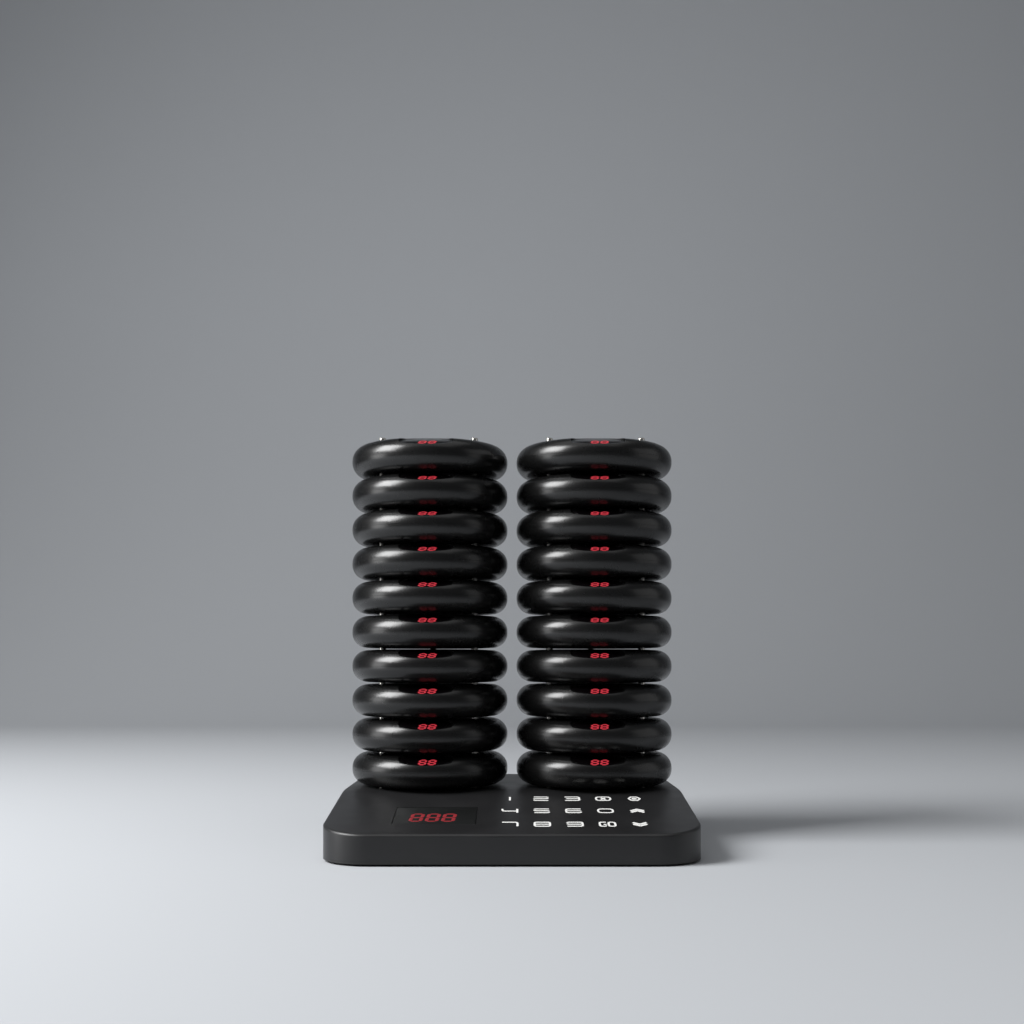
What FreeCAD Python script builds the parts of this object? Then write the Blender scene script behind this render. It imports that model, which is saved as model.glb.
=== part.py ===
import FreeCAD, Part
import math
import os
import Sketcher

# Guest pager system: a counter base with a sloping touch panel and two stacks of coaster pagers.
# Millimetres, +Z up, the panel faces -Y. The origin is on the ground under the middle of the base.

# Driving dimensions: alias, value, meaning
SIZES = [
    ("base_front_width", 202.8, "base width across the front corners"),
    ("base_rear_width", 197.0, "base width across the rear corners"),
    ("base_depth", 206.8, "base from front to rear"),
    ("base_corner_radius", 26, "corner radius in plan"),
    ("foot_gap", 1.2, "ground to the lower edge of the cover"),
    ("front_wall_height", 15.6, "height of the front wall"),
    ("platform_rise", 13.3, "platform above the top of the front wall"),
    ("panel_run", 100, "front edge to the crease, measured level"),
    ("crease_radius", 40, "rounding between the panel and the platform"),
    ("top_edge_radius", 1.6, "rounding of the cover's top edge"),
    ("cover_wall", 2.4, "wall of the top cover"),
    ("floor_thickness", 3, "bottom cover"),
    ("floor_clearance", 0.15, "gap round the bottom cover"),
    ("screw_front_wall_distance", 10.4, "front cover screws in from the base's sides"),
    ("screw_rear_wall_distance", 40, "rear cover screws in from the base's sides, clear of the corners"),
    ("screw_front_y", 55, "front cover screws in front of the middle"),
    ("screw_board_gap", 1, "charging board's rear edge to the bosses of the rear screws"),
    ("screw_boss_radius", 4, "screw bosses under the cover"),
    ("screw_shank_radius", 1.45, "cover screw shank"),
    ("screw_hole_clearance", 0.05, "round the shank in its boss"),
    ("screw_pass_clearance", 0.25, "round the shank in the bottom cover"),
    ("screw_length", 12, "shank length"),
    ("screw_head_radius", 2.8, "cover screw head"),
    ("screw_head_height", 1.6, "cover screw head"),
    ("screw_head_clearance", 0.2, "round the head in its recess"),
    ("screw_head_sink", 0.2, "head below the bottom cover's face"),
    ("foot_wall_distance", 24, "feet in from the base's sides"),
    ("foot_y", 80, "feet from the middle, to front and rear"),
    ("foot_radius", 7, "rubber foot"),
    ("foot_seat_depth", 1, "how far a foot is let into the bottom cover"),
    ("foot_clearance", 0.1, "round a foot in its seat"),
    ("window_x", -41.75, "console window centre, sideways"),
    ("window_run", 39.5, "console window centre, up the panel from the front edge"),
    ("window_length", 44.5, "console window, sideways"),
    ("window_width", 36, "console window, up the panel"),
    ("window_clearance", 0.15, "gap round the console window"),
    ("led_length", 38, "three-digit display block"),
    ("led_width", 22, "three-digit display block"),
    ("led_height", 8, "three-digit display block"),
    ("led_window_gap", 0.2, "display block to the window or panel above it"),
    ("control_board_low_x", -76, "left edge of the control board"),
    ("control_board_high_x", -10, "right edge of the control board"),
    ("control_board_low_run", 10, "front edge of the control board, up the panel"),
    ("control_board_high_run", 90, "rear edge of the control board, up the panel"),
    ("control_post_inset", 4.8, "control board's posts in from its edges"),
    ("board_thickness", 1.6, "circuit boards in the base"),
    ("post_radius", 3, "posts that carry the boards in the base"),
    ("keypad_low_x", -8, "left edge of the touch board"),
    ("keypad_high_x", 78, "right edge of the touch board"),
    ("keypad_low_run", 10, "front edge of the touch board, up the panel"),
    ("keypad_high_run", 88, "rear edge of the touch board, up the panel"),
    ("chip_side", 9, "controller on the control board"),
    ("chip_height", 1.4, "controller on the control board"),
    ("antenna_radius", 2, "sleeved antenna on the control board"),
    ("antenna_length", 50, "sleeved antenna on the control board"),
    ("antenna_run", 72, "antenna, up the panel"),
    ("charging_board_drop", 3.7, "charging board below the platform's inner face"),
    ("charging_board_half_length", 84, "charging board from the middle, sideways"),
    ("charging_board_margin", 8, "charging board past the contacts, front and rear"),
    ("charging_post_x", 12, "charging board's inner posts, sideways"),
    ("contact_flange_radius", 3, "collar of a base contact"),
    ("contact_flange_height", 1, "collar of a base contact"),
    ("recess_length", 60, "rear recess for the inlet and the switch, sideways"),
    ("recess_height", 18, "rear recess"),
    ("recess_depth", 4.5, "rear recess"),
    ("recess_level", 16, "centre of the rear recess above the ground"),
    ("jack_x", 16, "power inlet, sideways"),
    ("jack_radius", 5.4, "body of the power inlet"),
    ("jack_length", 13, "power inlet inwards from the recess floor"),
    ("jack_flange_radius", 6.6, "collar of the power inlet"),
    ("jack_flange_thickness", 1.5, "collar of the power inlet"),
    ("jack_bore_radius", 3.1, "bore for the barrel plug"),
    ("jack_bore_depth", 9.5, "bore for the barrel plug"),
    ("jack_pin_radius", 1, "centre pin"),
    ("panel_hole_clearance", 0.1, "round the inlet and the switch in the recess floor"),
    ("switch_x", -12, "power switch, sideways"),
    ("switch_length", 19, "power switch body, sideways"),
    ("switch_height", 12.8, "power switch body"),
    ("switch_depth", 12, "power switch body inwards from the recess floor"),
    ("switch_bezel_length", 21, "bezel of the power switch"),
    ("switch_bezel_height", 15, "bezel of the power switch"),
    ("switch_bezel_thickness", 1.6, "bezel of the power switch"),
    ("switch_well_length", 16.2, "well that the rocker moves in"),
    ("switch_well_height", 9.8, "well that the rocker moves in"),
    ("switch_well_depth", 7, "well that the rocker moves in"),
    ("rocker_half_length", 7, "rocker from its pivot to its end"),
    ("rocker_height", 9.4, "rocker along its pivot"),
    ("rocker_end_rise", 4, "rocker's ends above its pivot"),
    ("rocker_middle_rise", 2.7, "rocker's middle above its pivot"),
    ("rocker_keel", 3, "rocker below its pivot"),
    ("rocker_pivot_depth", 2.6, "pivot below the bezel's face"),
    ("rocker_pin_radius", 1, "rocker's pivot pins"),
    ("rocker_pin_length", 1, "rocker's pivot pins, each"),
    ("rocker_pin_clearance", 0.05, "round the pivot pins"),
    ("rocker_tilt", 10, "rocker to each side of level, in degrees"),
    ("stack_spacing", 100.6, "between the two stacks' centre lines"),
    ("stack_setback", 131.2, "front edge of the base to the stacks' centre lines"),
    ("pager_radius", 47.5, "pager"),
    ("pager_height", 20.26, "pager, without its studs"),
    ("pager_gap", 0.5, "air between pagers in a stack"),
    ("pager_flat_radius", 25, "level middle of a pager's top and underside"),
    ("pager_upper_nose", 9.2, "rounding above the rim"),
    ("pager_upper_band", 0.4, "upright part of the rim above the parting"),
    ("pager_lower_nose", 9, "rounding below the rim"),
    ("pager_lower_band", 0.6, "upright part of the rim below the parting"),
    ("pager_wall", 2.2, "wall of a pager's case"),
    ("facet_tilt", 22, "slope of the display facet, in degrees"),
    ("facet_start", 32.7, "pager's axis to where the facet meets the top's level"),
    ("facet_centre", 39.6, "pager's axis to the facet's centre"),
    ("facet_half_length", 16.2, "facet's recess, half of its long axis"),
    ("facet_half_width", 10.5, "facet's recess, half of its short axis, past the rim"),
    ("pane_half_length", 14.5, "pager window, half of its long axis"),
    ("pane_half_width", 6.6, "pager window, half of its short axis"),
    ("pane_thickness", 1.6, "pager window"),
    ("pane_clearance", 0.1, "gap round a pager window"),
    ("pane_ledge", 0.8, "ledge that a pager window rests on"),
    ("pane_frame_thickness", 2.6, "frame round the window, below the facet"),
    ("contact_circle_radius", 32, "circle of a pager's three contacts"),
    ("contact_radius", 2.05, "contact post"),
    ("contact_tip_chamfer", 0.5, "chamfer at a post's tip"),
    ("contact_pad_radius", 2.8, "pad at a post's foot"),
    ("contact_pad_thickness", 1.2, "pad at a post's foot"),
    ("contact_pad_recess", 2.3, "pad's face above the pager's underside"),
    ("contact_clearance", 0.1, "round a contact in its holes"),
    ("contact_boss_radius", 4.4, "boss round a contact in the lower case"),
    ("pager_board_level", 9, "underside of a pager's board"),
    ("pager_board_radius", 41.5, "pager's circuit board"),
    ("pager_board_thickness", 1.2, "pager's circuit board"),
    ("battery_length", 34, "pager's battery"),
    ("battery_width", 24, "pager's battery"),
    ("battery_thickness", 5, "pager's battery"),
    ("battery_setback", 3, "battery's centre behind the pager's axis"),
    ("motor_radius", 5, "pager's vibration motor"),
    ("motor_height", 3.2, "pager's vibration motor"),
    ("motor_x", 16, "vibration motor from the pager's axis, sideways"),
    ("motor_y", 10, "vibration motor behind the pager's axis"),
    ("digits_half_length", 6.5, "pager's two-digit display, half of its length"),
    ("digits_front", 43.1, "pager's axis to the front of its display"),
    ("digits_rear", 36, "pager's axis to the rear of its display"),
]
PAGERS_PER_STACK = 10
# Directions from a pager's axis to its contacts, in degrees from +X
CONTACT_ANGLES = (90, 210, 330)
# The pager whose pieces are all nodes of their own
OPEN_PAGER = ("left", PAGERS_PER_STACK)

doc = FreeCAD.newDocument("guest_pager_system")
sheet = doc.addObject("Spreadsheet::Sheet", "sizes")
for row, (alias, value, meaning) in enumerate(SIZES, start=1):
    sheet.set(f"A{row}", meaning)
    sheet.set(f"B{row}", str(value))
    sheet.setAlias(f"B{row}", alias)
doc.recompute()

# Levels and places that several pieces share, as expressions of the driving dimensions
FRONT = "(-sizes.base_depth / 2)"
REAR = "(sizes.base_depth / 2)"
PANEL_EDGE = "(sizes.foot_gap + sizes.front_wall_height)"
PLATFORM = f"({PANEL_EDGE} + sizes.platform_rise)"
CREASE = f"({FRONT} + sizes.panel_run)"
PANEL_ANGLE = "atan(sizes.platform_rise / sizes.panel_run)"
FLOOR_TOP = "(sizes.foot_gap + sizes.floor_thickness)"
STACK_Y = f"({FRONT} + sizes.stack_setback)"
STACK_FOOT = f"({PLATFORM} + sizes.pager_gap)"
PITCH = "(sizes.pager_height + sizes.pager_gap)"
RECESS_FLOOR = f"({REAR} - sizes.recess_depth)"
CHARGING_TOP = f"({PLATFORM} - sizes.cover_wall - sizes.charging_board_drop)"
CHARGING_REAR_Y = f"({STACK_Y} + sizes.contact_circle_radius + sizes.charging_board_margin)"
REAR_SCREW_Y = f"({CHARGING_REAR_Y} + sizes.screw_board_gap + sizes.screw_boss_radius)"
CONTROL_TOP = "(-sizes.cover_wall - sizes.led_window_gap - sizes.led_height)"
FACET_Z = "(sizes.pager_height - (sizes.facet_centre - sizes.facet_start) * tan(sizes.facet_tilt))"
# How far cutting tools run past what they cut
OVERRUN = 1


def number(expression):
    """The present value of an expression."""
    result = sheet.evalExpression(str(expression))
    return float(getattr(result, "Value", result))


def bind(target, **expressions):
    """Binds properties of a document object to expressions."""
    for name, expression in expressions.items():
        target.setExpression(name, str(expression))
    return target


def place(target, x="0", y="0", z="0", axis=None, angle="0"):
    """Binds a Placement: a turn about one axis, then a move."""
    if axis is not None:
        start = FreeCAD.Rotation(FreeCAD.Vector(*axis), number(angle) or 1)
        target.Placement = FreeCAD.Placement(FreeCAD.Vector(), start)
        target.setExpression("Placement.Rotation.Angle", str(angle))
    target.setExpression("Placement.Base.x", str(x))
    target.setExpression("Placement.Base.y", str(y))
    target.setExpression("Placement.Base.z", str(z))
    return target


def box(name, length, width, height, x="0", y="0", z="0"):
    """A block whose low corner is at x, y, z."""
    made = bind(doc.addObject("Part::Box", name), Length=length, Width=width, Height=height)
    return place(made, x, y, z)


def centred_box(name, length, width, height, x="0", y="0", z="0"):
    """A block centred on x and y, standing on z."""
    return box(name, length, width, height, f"{x} - ({length}) / 2", f"{y} - ({width}) / 2", z)


def cylinder(name, radius, height, x="0", y="0", z="0"):
    """An upright cylinder standing on z."""
    return place(bind(doc.addObject("Part::Cylinder", name), Radius=radius, Height=height), x, y, z)


def fuse(name, *shapes):
    """The union of several shapes."""
    made = doc.addObject("Part::MultiFuse", name)
    made.Shapes = list(shapes)
    return made


def cut(name, base, tool):
    """What is left of the base outside the tool."""
    made = doc.addObject("Part::Cut", name)
    made.Base, made.Tool = base, tool
    return made


def common(name, base, tool):
    """What the base and the tool share."""
    made = doc.addObject("Part::Common", name)
    made.Base, made.Tool = base, tool
    return made


def group(name, *shapes):
    """Several shapes side by side in one object, which can be turned and moved as one."""
    made = doc.addObject("Part::Compound", name)
    made.Links = list(shapes)
    return made


def origin_feature(body, role):
    """A plane or axis of a body's own origin."""
    return next(o for o in body.Origin.OriginFeatures if o.Role == role)


def pin_point(sketch, geometry, point, axis_name, expression):
    """Ties one coordinate of a sketch point to an expression."""
    kind = "DistanceX" if axis_name == "x" else "DistanceY"
    value = number(expression)
    if abs(value) < 1e-9:
        axis = -2 if axis_name == "x" else -1
        sketch.addConstraint(Sketcher.Constraint("PointOnObject", geometry, point, axis))
    elif value > 0:
        index = sketch.addConstraint(Sketcher.Constraint(kind, -1, 1, geometry, point, value))
        sketch.setExpression(f"Constraints[{index}]", str(expression))
    else:
        index = sketch.addConstraint(Sketcher.Constraint(kind, geometry, point, -1, 1, -value))
        sketch.setExpression(f"Constraints[{index}]", f"-({expression})")


def polygon_sketch(body, name, role, corners):
    """A closed sketch of straight lines whose corners are pairs of expressions."""
    sketch = body.newObject("Sketcher::SketchObject", name)
    sketch.AttachmentSupport = [(origin_feature(body, role), "")]
    sketch.MapMode = "FlatFace"
    points = [FreeCAD.Vector(number(x), number(y), 0) for x, y in corners]
    count = len(points)
    for index in range(count):
        sketch.addGeometry(Part.LineSegment(points[index], points[(index + 1) % count]), False)
    for index in range(count):
        sketch.addConstraint(Sketcher.Constraint("Coincident", index, 2, (index + 1) % count, 1))
    for index, (x, y) in enumerate(corners):
        pin_point(sketch, index, 1, "x", x)
        pin_point(sketch, index, 1, "y", y)
    return sketch


def pad(body, sketch, length, symmetric=False):
    """A Pad of a sketch, one way or half to each side."""
    made = body.newObject("PartDesign::Pad", sketch.Name + "_pad")
    made.Profile = sketch
    made.Length = number(length)
    made.setExpression("Length", str(length))
    if symmetric:
        made.SideType = "Symmetric"
    doc.recompute()
    return made


def edges_where(feature, test):
    """Names of a feature's edges that pass a test on their two ends."""
    names = []
    for index, edge in enumerate(feature.Shape.Edges, start=1):
        ends = [vertex.Point for vertex in edge.Vertexes]
        if len(ends) == 2 and test(*ends):
            names.append(f"Edge{index}")
    return names


def fillet(body, feature, names, radius):
    """A Fillet on named edges."""
    made = body.newObject("PartDesign::Fillet", feature.Name + "_fillet")
    made.Base = (feature, names)
    made.Radius = number(radius)
    made.setExpression("Radius", str(radius))
    doc.recompute()
    return made


def is_upright(first, second):
    """Whether an edge's ends lie one above the other."""
    return math.hypot(first.x - second.x, first.y - second.y) < 1e-6


def plan_prism(name, inset, height, z):
    """A slab in the base's rounded plan, drawn in from it by an inset."""
    body = doc.addObject("PartDesign::Body", name)
    front_x = f"(sizes.base_front_width / 2 - ({inset}))"
    rear_x = f"(sizes.base_rear_width / 2 - ({inset}))"
    front_y, rear_y = f"({FRONT} + ({inset}))", f"({REAR} - ({inset}))"
    corners = [(f"-{front_x}", front_y), (front_x, front_y), (rear_x, rear_y), (f"-{rear_x}", rear_y)]
    outline = polygon_sketch(body, name + "_plan", "XY_Plane", corners)
    slab = pad(body, outline, height)
    fillet(body, slab, edges_where(slab, is_upright), f"sizes.base_corner_radius - ({inset})")
    place(body, z=z)
    return body


def housing_block(name, inset):
    """The base's form, drawn in by an inset on every side but below: rounded plan, panel slope, platform."""
    level_top = f"({PLATFORM} - ({inset}))"
    body = plan_prism(name, inset, f"{level_top} - sizes.foot_gap", "sizes.foot_gap")
    # The sketch is in the body's own heights, which start at the cover's lower edge
    edge_drop = f"(({inset}) / cos({PANEL_ANGLE}))"
    crease_y = f"({CREASE} + ({inset}) * tan({PANEL_ANGLE} / 2))"
    top = f"({level_top} - sizes.foot_gap)"
    low = f"(sizes.front_wall_height - {edge_drop} - {OVERRUN} * tan({PANEL_ANGLE}))"
    wedge = [
        (f"{FRONT} - {OVERRUN}", low),
        (crease_y, top),
        (crease_y, f"{top} + {OVERRUN}"),
        (f"{FRONT} - {OVERRUN}", f"{top} + {OVERRUN}"),
    ]
    outline = polygon_sketch(body, name + "_slope", "YZ_Plane", wedge)
    before = body.Shape.Volume
    slope = body.newObject("PartDesign::Pocket", name + "_slope_cut")
    slope.Profile = outline
    slope.Type = "Length"
    slope.SideType = "Symmetric"
    slope.Length = number("sizes.base_front_width") * 2
    slope.setExpression("Length", "sizes.base_front_width * 2")
    doc.recompute()
    if body.Shape.Volume >= before:
        raise RuntimeError(f"{name}: the slope cuts nothing")
    # Crease first, so that the top edge runs on smoothly past it
    crease_at, top_at = number(crease_y), number(top)

    def on_crease(first, second):
        near = all(abs(p.y - crease_at) < 0.01 and abs(p.z - top_at) < 0.01 for p in (first, second))
        return near and abs(first.x - second.x) > 1

    return fillet(body, slope, edges_where(slope, on_crease), "sizes.crease_radius"), body


def round_top_edge(feature, body):
    """Rounds the edge where the base's walls meet its top."""
    front_at = number("sizes.front_wall_height")

    def on_front(first, second):
        return all(abs(p.z - front_at) < 0.01 for p in (first, second)) and abs(first.x - second.x) > 1

    return fillet(body, feature, edges_where(feature, on_front), "sizes.top_edge_radius")


def on_panel(name, *shapes):
    """Shapes drawn flat on the panel (x sideways, y up the panel, z out of it), set in place."""
    return place(group(name, *shapes), "0", FRONT, PANEL_EDGE, (1, 0, 0), PANEL_ANGLE)


def on_facet(name, *shapes):
    """Shapes drawn flat on a pager's facet (x sideways, z out of it), set in place."""
    return place(group(name, *shapes), "0", "-sizes.facet_centre", FACET_Z, (1, 0, 0), "sizes.facet_tilt")


def contact_places(centre_x="0", centre_y="0"):
    """The three contact positions of one stack or pager, as pairs of expressions."""
    for angle in CONTACT_ANGLES:
        yield (
            f"{centre_x} + sizes.contact_circle_radius * cos({angle})",
            f"{centre_y} + sizes.contact_circle_radius * sin({angle})",
        )


NODES = {}


def node(made, name):
    """Gives a sub-part the name of its file."""
    made.Label = name
    NODES[name] = made
    return made


STACKS = {"left": "(-sizes.stack_spacing / 2)", "right": "(sizes.stack_spacing / 2)"}

# Screws and feet of the base, at the same four signs
SIDES = [(-1, -1), (1, -1), (-1, 1), (1, 1)]


def half_width(y):
    """Half of the base's width at a place between its front and its rear."""
    mean = "(sizes.base_front_width + sizes.base_rear_width) / 4"
    taper = "(sizes.base_front_width - sizes.base_rear_width) / 2"
    return f"({mean} - {y} / sizes.base_depth * {taper})"


def screw_place(side):
    """Where one cover screw stands: the rear ones just behind the charging board."""
    end, y = ("rear", REAR_SCREW_Y) if side[1] > 0 else ("front", "(-sizes.screw_front_y)")
    return f"{side[0]} * ({half_width(y)} - sizes.screw_{end}_wall_distance)", y


def foot_place(side):
    """Where one foot stands."""
    y = f"({side[1]} * sizes.foot_y)"
    return f"{side[0]} * ({half_width(y)} - sizes.foot_wall_distance)", y


SCREW_TOP = f"({FLOOR_TOP} - sizes.floor_thickness + sizes.screw_head_sink + sizes.screw_head_height)"


def build_top_cover():
    """Front wall, panel and platform in one moulding, with the bosses and posts inside it."""
    outer_crease, outer = housing_block("cover_outer", "0")
    round_top_edge(outer_crease, outer)
    _, inner = housing_block("cover_inner", "sizes.cover_wall")
    shell = cut("cover_shell", outer, inner)
    tall = f"{PLATFORM} - {FLOOR_TOP}"
    bosses = [
        cylinder(f"screw_boss_{i}", "sizes.screw_boss_radius", tall, *screw_place(side), FLOOR_TOP)
        for i, side in enumerate(SIDES, start=1)
    ]
    # Posts run up from each board to the platform or panel
    post_height = f"{PLATFORM} - {CHARGING_TOP}"
    for i, (x, y) in enumerate(charging_posts(), start=1):
        bosses.append(cylinder(f"charging_post_{i}", "sizes.post_radius", post_height, x, y, CHARGING_TOP))
    control_posts = [
        cylinder(f"control_post_{i}", "sizes.post_radius", f"-{CONTROL_TOP}", x, y, CONTROL_TOP)
        for i, (x, y) in enumerate(control_post_places(), start=1)
    ]
    bosses.append(on_panel("control_posts", *control_posts))
    backing_depth = "(sizes.recess_depth + sizes.cover_wall)"
    backing_length = "sizes.recess_length + 2 * sizes.cover_wall"
    backing_height = "(sizes.recess_height + 2 * sizes.cover_wall)"
    backing = centred_box("recess_backing", backing_length, backing_depth, backing_height)
    place(
        backing,
        f"-({backing_length}) / 2",
        f"{REAR} - {backing_depth}",
        f"sizes.recess_level - {backing_height} / 2",
    )
    bosses.append(backing)
    solid_inside = common("cover_bosses", fuse("cover_boss_set", *bosses), outer)
    tools = [
        cylinder(
            f"screw_hole_{i}",
            "sizes.screw_shank_radius + sizes.screw_hole_clearance",
            "sizes.screw_length",
            *screw_place(side),
            SCREW_TOP,
        )
        for i, side in enumerate(SIDES, start=1)
    ]
    for stack, centre_x in STACKS.items():
        for i, (x, y) in enumerate(contact_places(centre_x, STACK_Y), start=1):
            radius = "sizes.contact_radius + sizes.contact_clearance"
            height = f"sizes.cover_wall + 2 * {OVERRUN}"
            start = f"{PLATFORM} - sizes.cover_wall - {OVERRUN}"
            tools.append(cylinder(f"contact_hole_{stack}_{i}", radius, height, x, y, start))
    tools.append(
        on_panel(
            "window_opening",
            centred_box(
                "window_opening_block",
                "(sizes.window_length + 2 * sizes.window_clearance)",
                "(sizes.window_width + 2 * sizes.window_clearance)",
                f"sizes.cover_wall + 2 * {OVERRUN}",
                "sizes.window_x",
                "sizes.window_run",
                f"-sizes.cover_wall - {OVERRUN}",
            ),
        )
    )
    recess = box(
        "recess_space",
        "sizes.recess_length",
        f"sizes.recess_depth + {OVERRUN}",
        "sizes.recess_height",
        "-sizes.recess_length / 2",
        RECESS_FLOOR,
        "sizes.recess_level - sizes.recess_height / 2",
    )
    tools.append(recess)
    hole_length = f"sizes.cover_wall + 2 * {OVERRUN}"
    tools.append(rearward("jack_hole", "sizes.jack_radius + sizes.panel_hole_clearance", hole_length,
                          "sizes.jack_x", f"{RECESS_FLOOR} - sizes.cover_wall - {OVERRUN}"))
    tools.append(
        switch_block(
            "switch_hole",
            "(sizes.switch_length + 2 * sizes.panel_hole_clearance)",
            "(sizes.switch_height + 2 * sizes.panel_hole_clearance)",
            hole_length,
            f"{RECESS_FLOOR} - sizes.cover_wall - {OVERRUN}",
        )
    )
    raw = fuse("cover_raw", shell, solid_inside)
    node(cut("base_top_cover", raw, fuse("cover_openings", *tools)), "base_top_cover")


def rearward(name, radius, length, x, y):
    """A cylinder along +Y from y, at the recess's level."""
    made = bind(doc.addObject("Part::Cylinder", name), Radius=radius, Height=length)
    return place(made, x, y, "sizes.recess_level", (1, 0, 0), "-90")


def switch_block(name, length, height, depth, y):
    """A block of the power switch, centred on the switch and running to the rear from y."""
    low = f"sizes.recess_level - {height} / 2"
    return box(name, length, depth, height, f"sizes.switch_x - {length} / 2", y, low)


def charging_posts():
    """The six posts that carry the charging board: by its rear corners and between the front contacts."""
    outer_x = "(sizes.charging_board_half_length - 2 * sizes.post_radius)"
    rear_y = f"({STACK_Y} + sizes.contact_circle_radius)"
    front_y = f"({STACK_Y} - sizes.contact_circle_radius / 2)"
    for side in (-1, 1):
        yield f"{side} * sizes.stack_spacing / 2", front_y
        yield f"{side} * {outer_x}", rear_y
        yield f"{side} * sizes.charging_post_x", rear_y


def control_post_places():
    """The control board's four posts, in the panel's own plane."""
    for x in (
        "sizes.control_board_low_x + sizes.control_post_inset",
        "sizes.control_board_high_x - sizes.control_post_inset",
    ):
        for y in (
            "sizes.control_board_low_run + sizes.control_post_inset",
            "sizes.control_board_high_run - sizes.control_post_inset",
        ):
            yield x, y


def build_bottom_cover():
    """The floor plate inside the cover's skirt, with seats for the feet and holes for the screws."""
    plate = plan_prism(
        "floor_plate", "sizes.cover_wall + sizes.floor_clearance", "sizes.floor_thickness", "sizes.foot_gap"
    )
    tools = []
    for i, side in enumerate(SIDES, start=1):
        x, y = foot_place(side)
        seat = "sizes.foot_radius + sizes.foot_clearance"
        tools.append(cylinder(f"foot_seat_{i}", seat, "sizes.foot_seat_depth + sizes.foot_gap", x, y))
        x, y = screw_place(side)
        through = "sizes.screw_shank_radius + sizes.screw_pass_clearance"
        tools.append(cylinder(f"screw_pass_{i}", through, FLOOR_TOP + f" + {OVERRUN}", x, y))
        head = "sizes.screw_head_radius + sizes.screw_head_clearance"
        tools.append(cylinder(f"screw_recess_{i}", head, SCREW_TOP, x, y))
    node(cut("base_bottom_cover", plate, fuse("floor_openings", *tools)), "base_bottom_cover")


def build_base_fasteners():
    """Cover screws and rubber feet, each set in one node."""
    screws, feet = [], []
    for i, side in enumerate(SIDES, start=1):
        x, y = screw_place(side)
        head_z = f"{SCREW_TOP} - sizes.screw_head_height"
        head_radius, head_height = "sizes.screw_head_radius", "sizes.screw_head_height"
        head = cylinder(f"screw_head_{i}", head_radius, head_height, x, y, head_z)
        shank_length = "sizes.screw_length - sizes.screw_hole_clearance"
        shank = cylinder(f"screw_shank_{i}", "sizes.screw_shank_radius", shank_length, x, y, SCREW_TOP)
        screws.append(fuse(f"screw_{i}", head, shank))
        x, y = foot_place(side)
        foot_height = "sizes.foot_gap + sizes.foot_seat_depth"
        feet.append(cylinder(f"foot_{i}", "sizes.foot_radius", foot_height, x, y))
    node(group("cover_screws", *screws), "cover_screws")
    node(group("rubber_feet", *feet), "rubber_feet")


def build_console():
    """Window, display block and boards under the sloping panel."""
    window = centred_box(
        "window_block", "sizes.window_length", "sizes.window_width", "sizes.cover_wall",
        "sizes.window_x", "sizes.window_run", "-sizes.cover_wall",
    )
    node(on_panel("console_display_window", window), "console_display_window")
    digits = centred_box(
        "led_block", "sizes.led_length", "sizes.led_width", "sizes.led_height",
        "sizes.window_x", "sizes.window_run", CONTROL_TOP,
    )
    node(on_panel("console_digit_display", digits), "console_digit_display")
    low, high = "sizes.control_board_low_x", "sizes.control_board_high_x"
    front, rear = "sizes.control_board_low_run", "sizes.control_board_high_run"
    under = f"{CONTROL_TOP} - sizes.board_thickness"
    board = box("control_panel_board", f"{high} - {low}", f"{rear} - {front}", "sizes.board_thickness",
                low, front, under)
    chip = centred_box("control_chip", "sizes.chip_side", "sizes.chip_side", "sizes.chip_height",
                       "sizes.window_x", "sizes.window_run", f"{under} - sizes.chip_height")
    node(on_panel("control_board", fuse("control_board_parts", board, chip)), "control_board")
    low, high = "sizes.keypad_low_x", "sizes.keypad_high_x"
    front, rear = "sizes.keypad_low_run", "sizes.keypad_high_run"
    electrodes = box("keypad_electrodes", f"{high} - {low}", f"{rear} - {front}", "sizes.board_thickness",
                     low, front, "-sizes.cover_wall - sizes.board_thickness")
    node(on_panel("touch_keypad_board", electrodes), "touch_keypad_board")
    rod = bind(doc.addObject("Part::Cylinder", "antenna_rod"), Radius="sizes.antenna_radius",
               Height="sizes.antenna_length")
    place(rod, "sizes.window_x - sizes.antenna_length / 2", "sizes.antenna_run",
          f"{CONTROL_TOP} + sizes.antenna_radius", (0, 1, 0), "90")
    node(on_panel("radio_antenna", rod), "radio_antenna")


def build_charging():
    """The board under the platform and the six contact posts that stand on it."""
    front_y = f"({STACK_Y} - sizes.contact_circle_radius / 2 - sizes.charging_board_margin)"
    rear_y = CHARGING_REAR_Y
    half = "sizes.charging_board_half_length"
    board = box("charging_board", f"2 * {half}", f"{rear_y} - {front_y}", "sizes.board_thickness",
                f"-{half}", front_y, f"{CHARGING_TOP} - sizes.board_thickness")
    node(board, "charging_board")
    height = f"{STACK_FOOT} + sizes.contact_pad_recess - {CHARGING_TOP}"
    posts = []
    for stack, centre_x in STACKS.items():
        for i, (x, y) in enumerate(contact_places(centre_x, STACK_Y), start=1):
            post = contact_post(f"base_contact_{stack}_{i}", height, "sizes.contact_flange_radius",
                                "sizes.contact_flange_height")
            posts.append(place(post, x, y, CHARGING_TOP))
    node(group("charging_contacts", *posts), "charging_contacts")


def contact_post(name, height, foot_radius, foot_height):
    """A turned post with a wide foot and a chamfered tip."""
    body = doc.addObject("PartDesign::Body", name)
    tip = "(sizes.contact_radius - sizes.contact_tip_chamfer)"
    corners = [
        ("0", "0"),
        (foot_radius, "0"),
        (foot_radius, foot_height),
        ("sizes.contact_radius", foot_height),
        ("sizes.contact_radius", f"{height} - sizes.contact_tip_chamfer"),
        (tip, height),
        ("0", height),
    ]
    outline = polygon_sketch(body, name + "_half", "XZ_Plane", corners)
    revolve(body, outline)
    return body


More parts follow.
